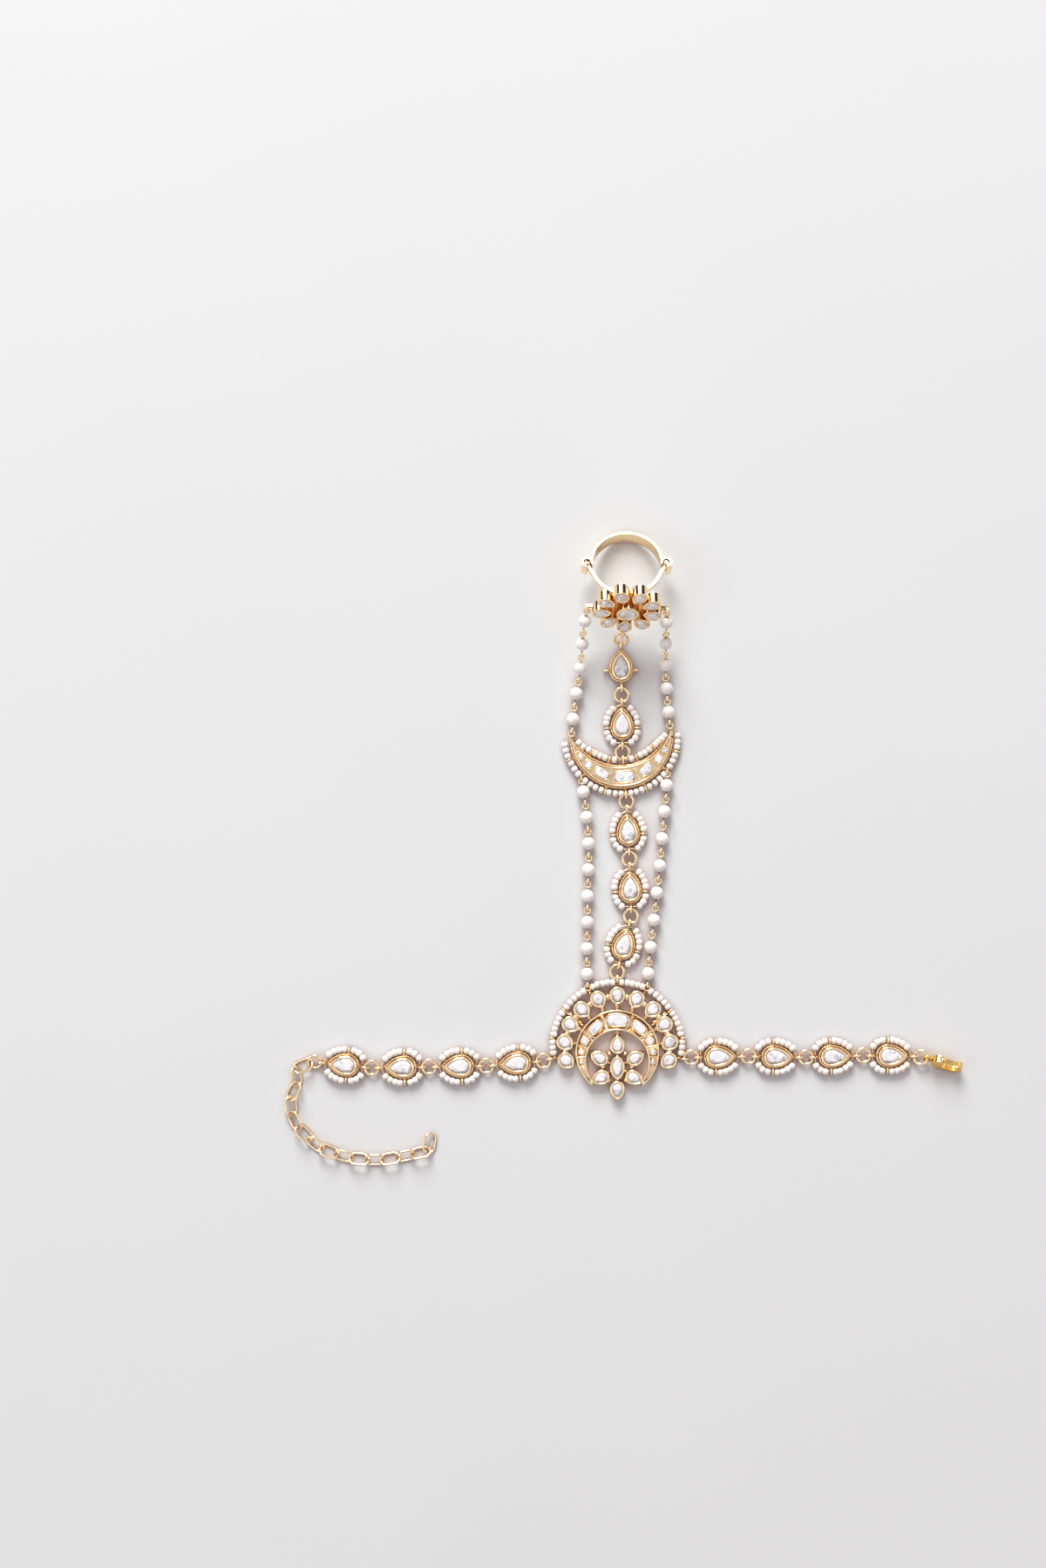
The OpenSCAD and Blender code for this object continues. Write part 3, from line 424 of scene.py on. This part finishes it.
def threaded(points, beads, long=1.0):
    """Places of the beads among the points of a wire, each turned along it"""
    places = []
    for i in beads:
        shake = Vector([dice.uniform(-1, 1) for _ in range(3)])
        way = (points[i + 1] - points[i - 1]).normalized() + BEAD_LEAN * shake
        wide = dice.uniform(*BEAD_SIZES)
        places.append(facing(points[i] + BEAD_SHIFT * shake, way)
                      @ Matrix.Diagonal((wide, wide, long * dice.uniform(*BEAD_SIZES), 1)))
    return places


def stretched(scale):
    """The active object with its mesh stretched and smooth"""
    bpy.ops.object.mode_set(mode="EDIT")
    bpy.ops.mesh.select_all(action="SELECT")
    bpy.ops.transform.resize(value=scale)
    bpy.ops.object.mode_set(mode="OBJECT")
    bpy.ops.object.shade_smooth()
    return bpy.context.active_object


def clouding_group():
    """Clouding: two tones of one colour that drift into each other"""
    tree, given, out = new_group(
        "clouding", {"Low": "Color", "High": "Color", "From": "Float", "To": "Float",
                     "Scale": "Float", "Detail": "Float"}, {"Color": "Color"})
    add, link = tree.nodes.new, tree.links.new
    place = add("ShaderNodeTexCoord")
    cloud = add("ShaderNodeTexNoise")
    link(place.outputs["Object"], cloud.inputs["Vector"])
    link(given.outputs["Scale"], cloud.inputs["Scale"])
    link(given.outputs["Detail"], cloud.inputs["Detail"])
    drift = add("ShaderNodeMapRange")
    link(cloud.outputs["Fac"], drift.inputs["Value"])
    link(given.outputs["From"], drift.inputs["From Min"])
    link(given.outputs["To"], drift.inputs["From Max"])
    tones = add("ShaderNodeMix")
    tones.data_type = "RGBA"
    link(drift.outputs["Result"], tones.inputs["Factor"])
    link(given.outputs["Low"], tones.inputs["A"])
    link(given.outputs["High"], tones.inputs["B"])
    link(tones.outputs["Result"], out.inputs["Color"])
    return tree


clouding = clouding_group()
dice = random.Random(7)
bpy.ops.mesh.primitive_torus_add(major_segments=20, minor_segments=10,
                                 major_radius=BEAD_R - BEAD_WALL,
                                 minor_radius=BEAD_WALL)
seed_bead = stretched((1, 1, BEAD_LENGTH / (2 * BEAD_WALL)))

ivory, tree, shader = new_material("ivory_seed_glass")
tones = placed(tree, clouding, {
    "Low": (0.97, 0.90, 0.78, 1), "High": (1.0, 0.98, 0.93, 1),
    "From": 0.35, "To": 0.62, "Scale": 260, "Detail": 2})
tree.links.new(tones.outputs["Color"], shader.inputs["Base Color"])
dial(shader, {"Roughness": 0.26, "Subsurface Weight": 0.12,
              "Subsurface Radius": (0.0009, 0.0007, 0.0005),
              "Coat Weight": 0.35, "Coat Roughness": 0.1})

for link_name in LINKS[:-1]:
    seat = leaf_seat(link_name + "_stone")
    bead_places, wire_runs = [], []
    for side in (1, -1):
        run = [TIP_END] + TIP_BEADS[::-1] + [POST] + HEEL_BEADS + [HEEL_END]
        points = [seat @ Vector((x * MM, y * side * MM, BEAD_HEIGHT)) for x, y in run]
        bead_places += threaded(points, LINK_BEADS, LINK_BEAD_LONG)
        wire_runs.append(points)
    beads = set_out(seed_bead, bead_places, link_name + "_beads")
    settle(beads, ivory, "seed_bead")
    wire = round_wire(link_name + "_bead_wire", wire_runs, WIRE_R)
    settle(wire, gold, "gold")

# ---- Leaf links: lashing -------------------------------------------------------------
# A fine gilt wire wound over a thicker one at the foot of each leaf cup. From above
# its turns show as a row of small grains between the cup and the beads.
# Its second, darker tone is painted shade between the turns and against the cup
lashing_gold = gilt("lashing_gold", (1.0, 0.72, 0.38), (0.78, 0.42, 0.16), 0.2)
LASH_STEP = 0.62 * MM
LASH_OUT = 0.3 * MM
LASH_HEIGHT = 1.3 * MM
LASH_R = 0.33 * MM
LASH_FLAT = 0.72
EYE_ROOM = 0.45 * MM
MARGIN = 0.05 * MM
CORE_R = 0.24 * MM
TIP_X, HEEL_X, CUP_HALF = 4.9 * MM, -2.6 * MM, 2.65 * MM
bpy.ops.mesh.primitive_uv_sphere_add(segments=8, ring_count=6, radius=LASH_R)
lash_turn = stretched((LASH_FLAT, 1, 1))


def cup_outline(seat, cup):
    """The outer outline of a leaf cup at its foot, anticlockwise, in the seat's frame"""
    back = seat.inverted()
    flat = [(back @ v.co).xy for v in cup.data.vertices]
    flat = [c for c in flat
            if HEEL_X - MARGIN < c.x < TIP_X + MARGIN and abs(c.y) < CUP_HALF]
    return [flat[i] for i in convex_hull_2d(flat)]


def stepped(outline, step, out, closed=True):
    """Places every step along an outline, moved out to its right, turned along it"""
    places, left = [], 0.0
    for a, b in zip(outline, outline[1:] + (outline[:1] if closed else [])):
        edge = b - a
        if edge.length < WELD:
            continue
        way = edge.normalized()
        while left < edge.length:
            spot = a + way * left + Vector((way.y, -way.x)) * out
            places.append(Matrix.Translation((*spot, LASH_HEIGHT))
                          @ Matrix.Rotation(math.atan2(way.y, way.x), 4, "Z"))
            left += step
        left -= edge.length
    return places


for link_name in LINKS:
    seat = leaf_seat(link_name + "_stone")
    outline = cup_outline(seat, bpy.data.objects[link_name + "_cup"])
    turns = [seat @ turn for turn in stepped(outline, LASH_STEP, LASH_OUT)]
    core = round_wire(link_name + "_lashing_core", [[t.translation for t in turns]], CORE_R,
                      closed=True)
    settle(core, lashing_gold, "gold")
    turns = [turn for turn in turns
             if min(map(abs, (seat.inverted() @ turn.translation).xy)) > EYE_ROOM]
    lashing = set_out(lash_turn, turns, link_name + "_lashing")
    settle(lashing, lashing_gold, "gold")

# ---- Medallion frame -----------------------------------------------------------------
# A crescent with raised rims, eleven leaf cups bordering it and six petal cups round
# an upright middle cup, all soldered together and gilt.
MEDAL_MID = Vector((0, 4.26 * MM, 0))
medallion = welded("medallion_frame", "medallion_gold", flatten=False)
MEDAL_RIM = 0.17 * MM
# The rims cross at the horns' points, where rounding them would fold the mesh
HORN_POINTS = [Vector((side * 6.8 * MM, -4.0 * MM, 0)) for side in (1, -1)]
round_rims(medallion, [CUP_TOP], MEDAL_RIM, but=HORN_POINTS)
settle(medallion, gold, "gold", "medallion_frame")


def medal_at(radius, degrees, height):
    """Point on the medallion, by degrees to the right of the column"""
    angle = math.radians(degrees)
    return MEDAL_MID + Vector((radius * math.sin(angle), radius * math.cos(angle), height))


# ---- Medallion solder beads ----------------------------------------------------------
# Melted solder beads that fill the corners between neighbouring border cups and
# between the petals of the middle flower.
SOLDER_R = 0.72 * MM
BORDER_TURN = 20
BORDER_RADII = [15.03, 14.87, 14.66, 14.43, 14.12]
HEART_BEADS = [(2.15, 3.8), (3.9, 0.2), (2.3, -3.4)]
BORDER_HEIGHT, HEART_HEIGHT = 1.75 * MM, 1.4 * MM
bpy.ops.mesh.primitive_uv_sphere_add(segments=16, ring_count=10, radius=SOLDER_R)
solder = bpy.context.active_object
bpy.ops.object.shade_smooth()
solder_places = [
    Matrix.Translation(medal_at(radius * MM, side * (i + 0.5) * BORDER_TURN, BORDER_HEIGHT))
    for i, radius in enumerate(BORDER_RADII) for side in (1, -1)]
solder_places += [Matrix.Translation((side * x * MM, y * MM, HEART_HEIGHT))
                  for x, y in HEART_BEADS for side in (1, -1)]
solder_beads = set_out(solder, solder_places, "medallion_solder_beads")
settle(solder_beads, gold, "gold")

# ---- Medallion cell bars -------------------------------------------------------------
# Short bars of round wire soldered across the sunk floor of the crescent, between
# the stones.
BAR_R = 0.24 * MM
BAR_HEIGHT = 2.02 * MM
MEDAL_BARS = [22.5, 58, 81, 98.5, 113]
MEDAL_R, MEDAL_HOLE_R, MEDAL_DROP = 11.3, 8.4, 2.66
BAR_IN = 0.3


def bar_radii(turn, outer, hole, drop):
    """Radii of a cell bar's three points on a crescent, in millimetres"""
    angle = math.radians(turn)
    inner = -drop * math.cos(angle) + math.sqrt(hole**2 - (drop * math.sin(angle))**2)
    return inner + BAR_IN, (inner + outer) / 2, outer - BAR_IN


bars = []
for turn in MEDAL_BARS:
    for side in (1, -1):
        bars.append([medal_at(r * MM, side * turn, BAR_HEIGHT)
                     for r in bar_radii(turn, MEDAL_R, MEDAL_HOLE_R, MEDAL_DROP)])
cell_bars = round_wire("medallion_cell_bars", bars, BAR_R)
settle(cell_bars, gold, "gold")

# ---- Medallion bead edging -----------------------------------------------------------
# Thirty-six seed beads on gilt wire, from one arm eye over the top to the other,
# through the four edge posts and both strand loops.
# Degrees from the column with the wire's radius, and with the room kept at a stop, mm
EDGE_SHAPE = [(0, 18.6), (18, 18.8), (52, 18.1), (82, 17.65), (96, 17.0)]
EDGE_STOPS = [(0, 0.5), (25, 0.55), (52, 0.3), (78, 0.3), (96, 0.75)]
EDGE_COUNTS = [5, 5, 5, 3]


def between(table, x):
    """Value at x on the straight lines between a table's points"""
    for (x0, y0), (x1, y1) in zip(table, table[1:]):
        if x <= x1:
            return y0 + (y1 - y0) * (x - x0) / (x1 - x0)
    return table[-1][1]


def edging(shape, stops, counts):
    """Angles of beads shared out between stops, each stop keeping its own room"""
    angles = []
    for (a, room_a), (b, room_b), count in zip(stops, stops[1:], counts):
        per_mm = math.degrees(1 / between(shape, (a + b) / 2))
        start, end = a + room_a * per_mm, b - room_b * per_mm
        angles += [start + (end - start) * (k + 0.5) / count for k in range(count)]
    return angles


bead_places, wire_runs = [], []
for side in (1, -1):
    angles = [0] + edging(EDGE_SHAPE, EDGE_STOPS, EDGE_COUNTS) + [EDGE_STOPS[-1][0]]
    points = [medal_at(between(EDGE_SHAPE, a) * MM, side * a, BEAD_HEIGHT) for a in angles]
    bead_places += threaded(points, range(1, len(points) - 1))
    wire_runs.append(points)
beads = set_out(seed_bead, bead_places, "medallion_beads")
settle(beads, ivory, "seed_bead")
wire = round_wire("medallion_bead_wire", wire_runs, WIRE_R)
settle(wire, gold, "gold")

# ---- Moon frame and its bead edging --------------------------------------------------
# A smaller crescent of the same make, horns up, with seed beads on wire round its
# outer and inner curves, through the posts and the strand loops.
MOON_FOOT = Vector((2.142 * MM, 75.611 * MM, 0))
MOON_TURN = math.radians(4.6)
MOON_RIM = 0.15 * MM
MOON_R, MOON_HOLE_R, MOON_DROP = 13.4, 14.5, 6.4
MOON_BARS = [19, 45.5, 62.5, 75.5]
OUTER_LASHED, INNER_LASHED, LASH_TURN = 86, 58, 2
OUTER_MID, INNER_MID = MOON_R, MOON_R + MOON_DROP
OUTER_SHAPE = [(0, 15.3), (93, 15.3)]
OUTER_STOPS = [(0, 0.5), (21, 0.3), (49, 0.5), (71, 0.3), (93.4, 0.9)]
INNER_SHAPE = [(0, 12.6), (40, 12.6), (66, 13.9)]
INNER_STOPS = [(0, 1.4), (17, 0.5), (40, 0.3), (66, 0.9)]
moon = welded("moon_frame", "moon_gold")
round_rims(moon, [CUP_TOP], MOON_RIM)
settle(moon, gold, "gold", "moon_frame")


def moon_at(middle, radius, degrees, height=BEAD_HEIGHT):
    """Point round one of the moon's two circles, by degrees from its lowest point"""
    angle = math.radians(degrees)
    local = Vector((radius * math.sin(angle), middle - radius * math.cos(angle), 0)) * MM
    return MOON_FOOT + Matrix.Rotation(MOON_TURN, 3, "Z") @ local + UP * height


bars = []
for turn in MOON_BARS:
    for side in (1, -1):
        bars.append([moon_at(OUTER_MID, r, side * turn, BAR_HEIGHT)
                     for r in bar_radii(turn, MOON_R, MOON_HOLE_R, MOON_DROP)])
cell_bars = round_wire("moon_cell_bars", bars, BAR_R)
settle(cell_bars, gold, "gold")
outer_edge = [moon_at(OUTER_MID, MOON_R, a).xy
              for a in range(-OUTER_LASHED, OUTER_LASHED + 1, LASH_TURN)]
inner_edge = [moon_at(INNER_MID, MOON_HOLE_R, a).xy
              for a in range(INNER_LASHED, -INNER_LASHED - 1, -LASH_TURN)]
turns = [stepped(edge, LASH_STEP, LASH_OUT, closed=False) for edge in (outer_edge, inner_edge)]
lashing = set_out(lash_turn, turns[0] + turns[1], "moon_lashing")
settle(lashing, lashing_gold, "gold")
core = round_wire("moon_lashing_core", [[t.translation for t in run] for run in turns], CORE_R)
settle(core, lashing_gold, "gold")

OUTER_COUNTS = [3, 4, 3, 3]
bead_places, wire_runs = [], []
for side, inner_counts in [(1, [1, 3, 4]), (-1, [1, 3, 3])]:
    for middle, shape, stops, counts in [(OUTER_MID, OUTER_SHAPE, OUTER_STOPS, OUTER_COUNTS),
                                         (INNER_MID, INNER_SHAPE, INNER_STOPS, inner_counts)]:
        angles = [0] + edging(shape, stops, counts) + [stops[-1][0]]
        points = [moon_at(middle, between(shape, a), side * a) for a in angles]
        bead_places += threaded(points, range(1, len(points) - 1))
        wire_runs.append(points)
beads = set_out(seed_bead, bead_places, "moon_beads")
settle(beads, ivory, "seed_bead")
wire = round_wire("moon_bead_wire", wire_runs, WIRE_R)
settle(wire, gold, "gold")
bpy.data.objects.remove(seed_bead)
bpy.data.objects.remove(lash_turn)
bpy.data.objects.remove(solder)

# ---- Finger ring band ----------------------------------------------------------------
# The wide back band of the finger ring, bent from flat gilt strip, with both ends
# rolled into open tubes that the flower's hooked strip snaps into.
BAND_ROUND = 0.16 * MM


def rounded_edges(piece, width, steep):
    """Rounds every edge of a piece that turns by more than this many degrees"""
    edge_round = piece.modifiers.new("edge_round", "BEVEL")
    edge_round.limit_method = "ANGLE"
    edge_round.angle_limit = math.radians(steep)
    edge_round.width = width
    edge_round.segments = 3
    pick(piece)
    bpy.ops.object.modifier_apply(modifier="edge_round")
    bpy.ops.object.shade_smooth_by_angle(angle=SMOOTH_TURN)


band = welded("ring_band", "ring_back_band")
rounded_edges(band, BAND_ROUND, 60)
settle(band, gold, "gold", "ring_band")

# ---- Finger ring flower --------------------------------------------------------------
# Nine leaf cups round a taller round cup, soldered on a plate that stands on a post
# over the narrow front strip, the whole leaning back on the ring.
RING_MID = Vector((2.281, 134.622, 6.582)) * MM
PETAL_TOP, BUD_TOP = 15.1 * MM, 15.9 * MM
FLOWER_RIM = 0.18 * MM
# Painted shade reaches 2 mm into the gaps between the flower's cups, darkening them orange-brown
flower_gold = gilt("flower_gold", (1.0, 0.76, 0.46), (0.64, 0.29, 0.09), 0.05, 2 * MM)
flower = welded("ring_flower", "ring_flower_gold")
round_rims(flower, [PETAL_TOP, BUD_TOP], FLOWER_RIM, FLOWER_WAY, RING_MID)
settle(flower, flower_gold, "gold", "ring_flower")

# ---- Jump rings ----------------------------------------------------------------------
# Seventeen round rings of gilt wire, in four groups by their place on the piece. Each
# is closed through the eyes of two neighbours.
for group in ("left", "right", "lower_column", "upper_column"):
    rings = welded(f"jump_rings_{group}", f"jump_rings_{group}_wire")
    settle(rings, gold, "gold", f"jump_rings_{group}")

# ---- Pearl strands: looped pins ------------------------------------------------------
# Fine gilt pins, one through each pearl, with a loop turned at either end and hooked
# into the next.
STRANDS = [f"strand_{row}_{side}" for row in ("lower", "upper") for side in SIDES]
for strand in STRANDS:
    pins = welded(strand + "_pins", strand + "_wire")
    settle(pins, gold, "gold", strand + "_pins")

# ---- Pearl strands: pearls -----------------------------------------------------------
# Round cream shell pearls of 3.5 mm, eight on each lower strand and five on each
# upper one, with a soft lustre and no two of quite the same tone.
pearl, tree, shader = new_material("cream_pearl")
tones = placed(tree, clouding, {
    "Low": (0.93, 0.87, 0.78, 1), "High": (1.0, 0.985, 0.95, 1),
    "From": 0.3, "To": 0.65, "Scale": 320, "Detail": 3})
tree.links.new(tones.outputs["Color"], shader.inputs["Base Color"])
dial(shader, {"Roughness": 0.2, "Subsurface Weight": 0.15,
              "Subsurface Radius": (0.0012, 0.0009, 0.0007),
              "Coat Weight": 0.9, "Coat Roughness": 0.07})
for strand in STRANDS:
    pearls = welded(strand + "_pearls", strand + "_shell_pearls")
    settle(pearls, pearl, "pearl", strand + "_pearls")

# ---- Extension chain -----------------------------------------------------------------
# Fifteen oval links of round gilt wire, each rolled against the one before, in a
# curve from the last jump ring on the left.
chain = welded("extension_chain", "extension_chain_links")
settle(chain, gold, "gold", "extension_chain")

# ---- Clasp ---------------------------------------------------------------------------
# A small cast lobster claw with a sprung lever, gilt a deeper yellow than the rest.
# The lever turns on the claw's own pin.
CLASP_ROUND = 0.12 * MM
# Its second colour is painted shade in the claw's corners
clasp_gold = gilt("clasp_gold", (0.95, 0.62, 0.20), (0.30, 0.12, 0.02), 0.16)
for node, name, body in [("clasp_body", "clasp_claw", "bracelet"),
                         ("clasp_lever", "clasp_thumb_lever", "lever")]:
    part = welded(node, name)
    rounded_edges(part, CLASP_ROUND, 50)
    settle(part, clasp_gold, "clasp_gold", node, body=body)

# ---- Table and light -----------------------------------------------------------------
# A pale grey board under a large soft light from the top of the picture. The sky is
# pale overhead, with bright and dark panels round the horizon for the gold to mirror.
bpy.ops.mesh.primitive_plane_add(size=4, location=(0, 0, -0.02 * MM))
board = bpy.context.active_object
board.name = "board"
board_paint, tree, shader = new_material("board_paint")
tones = placed(tree, clouding, {
    "Low": (0.75, 0.79, 0.785, 1), "High": (0.775, 0.815, 0.81, 1),
    "From": 0.0, "To": 1.0, "Scale": 9, "Detail": 2})
# Painted shadow: mauve-brown mixed into the board's colour where the piece stands over it or hems
# it in
hidden = tree.nodes.new("ShaderNodeAmbientOcclusion")
dial(hidden, {"Distance": 4 * MM})
hidden.samples = AO_SAMPLES
painted_shadow = tree.nodes.new("ShaderNodeMix")
painted_shadow.data_type = "RGBA"
dial(painted_shadow, {"A": (0.52, 0.40, 0.39, 1)})
unshadowed = tree.nodes.new("ShaderNodeMapRange")
dial(unshadowed, {"From Min": 0.3, "From Max": 0.85})
tree.links.new(hidden.outputs["AO"], unshadowed.inputs["Value"])
tree.links.new(unshadowed.outputs["Result"], painted_shadow.inputs["Factor"])
tree.links.new(tones.outputs["Color"], painted_shadow.inputs["B"])
tree.links.new(painted_shadow.outputs["Result"], shader.inputs["Base Color"])
dial(shader, {"Roughness": 0.6, "Specular IOR Level": 0.2})
board.data.materials.append(board_paint)

AIM = Vector((0, 70, 0)) * MM
for name, spot, size, power in [("key", (-0.4, 2.3, 1.4), 1.3, 78),
                                ("fill", (-1.3, -0.4, 1.1), 0.8, 3)]:
    bpy.ops.object.light_add(type="AREA", location=spot)
    lamp = bpy.context.active_object
    lamp.name = name
    lamp.data.size = size
    lamp.data.energy = power
    lamp.rotation_euler = (AIM - Vector(spot)).to_track_quat("-Z", "Y").to_euler()

sky = bpy.data.worlds.new("sky")
sky.use_nodes = True
bpy.context.scene.world = sky
tree = sky.node_tree
place = tree.nodes.new("ShaderNodeTexCoord")
split = tree.nodes.new("ShaderNodeSeparateXYZ")
tree.links.new(place.outputs["Generated"], split.inputs["Vector"])
height = tree.nodes.new("ShaderNodeValToRGB")
height.color_ramp.elements[0].position = 0.3
height.color_ramp.elements[0].color = (0.16, 0.15, 0.15, 1)
height.color_ramp.elements[1].position = 0.97
height.color_ramp.elements[1].color = (0.78, 0.78, 0.80, 1)
for spot, tone in [(0.5, 0.5), (0.7, 1.05), (0.9, 0.9)]:
    step = height.color_ramp.elements.new(spot)
    step.color = (tone, tone, tone, 1)
tree.links.new(split.outputs["Z"], height.inputs["Fac"])
bearing = tree.nodes.new("ShaderNodeMath")
bearing.operation = "ARCTAN2"
tree.links.new(split.outputs["Y"], bearing.inputs[0])
tree.links.new(split.outputs["X"], bearing.inputs[1])
wave = tree.nodes.new("ShaderNodeMath")
wave.operation = "MULTIPLY"
dial(wave, {1: 5})
tree.links.new(bearing.outputs["Value"], wave.inputs[0])
swing = tree.nodes.new("ShaderNodeMath")
swing.operation = "SINE"
tree.links.new(wave.outputs["Value"], swing.inputs[0])
panels = tree.nodes.new("ShaderNodeMapRange")
panels.interpolation_type = "SMOOTHSTEP"
dial(panels, {"From Min": -0.3, "From Max": 0.3, "To Min": 0.04, "To Max": 1.15})
tree.links.new(swing.outputs["Value"], panels.inputs["Value"])
low = tree.nodes.new("ShaderNodeMapRange")
dial(low, {"From Min": 0.35, "From Max": 0.6})
tree.links.new(split.outputs["Z"], low.inputs["Value"])
room = tree.nodes.new("ShaderNodeMix")
room.data_type = "RGBA"
tree.links.new(low.outputs["Result"], room.inputs["Factor"])
tree.links.new(panels.outputs["Result"], room.inputs["A"])
tree.links.new(height.outputs["Color"], room.inputs["B"])
ray = tree.nodes.new("ShaderNodeLightPath")
blush = tree.nodes.new("ShaderNodeMix")
blush.data_type = "RGBA"
blush.blend_type = "MULTIPLY"
dial(blush, {"B": (1.0, 0.85, 0.89, 1)})
tree.links.new(ray.outputs["Is Diffuse Ray"], blush.inputs["Factor"])
tree.links.new(room.outputs["Result"], blush.inputs["A"])
tree.links.new(blush.outputs["Result"], tree.nodes["Background"].inputs["Color"])
strength = tree.nodes.new("ShaderNodeMapRange")
dial(strength, {"To Min": 1.0, "To Max": 0.55})
tree.links.new(ray.outputs["Is Diffuse Ray"], strength.inputs["Value"])
tree.links.new(strength.outputs["Result"], tree.nodes["Background"].inputs["Strength"])

# ---- Camera --------------------------------------------------------------------------
# Straight above the piece, with the column upright in the picture. The photograph's
# 1798 rows span 423 mm of the board.
VIEW_MID = Vector((-25.4, 76.3, 0)) * MM
VIEW_SPAN = 423 * MM
CAMERA_RISE = 700 * MM
bpy.ops.object.camera_add(location=VIEW_MID + UP * CAMERA_RISE, rotation=(0, 0, 0))
camera = bpy.context.active_object
camera.data.lens = camera.data.sensor_width * CAMERA_RISE / VIEW_SPAN
camera.data.clip_start = 0.01
bpy.context.scene.camera = camera
bpy.context.scene.view_settings.view_transform = "Standard"
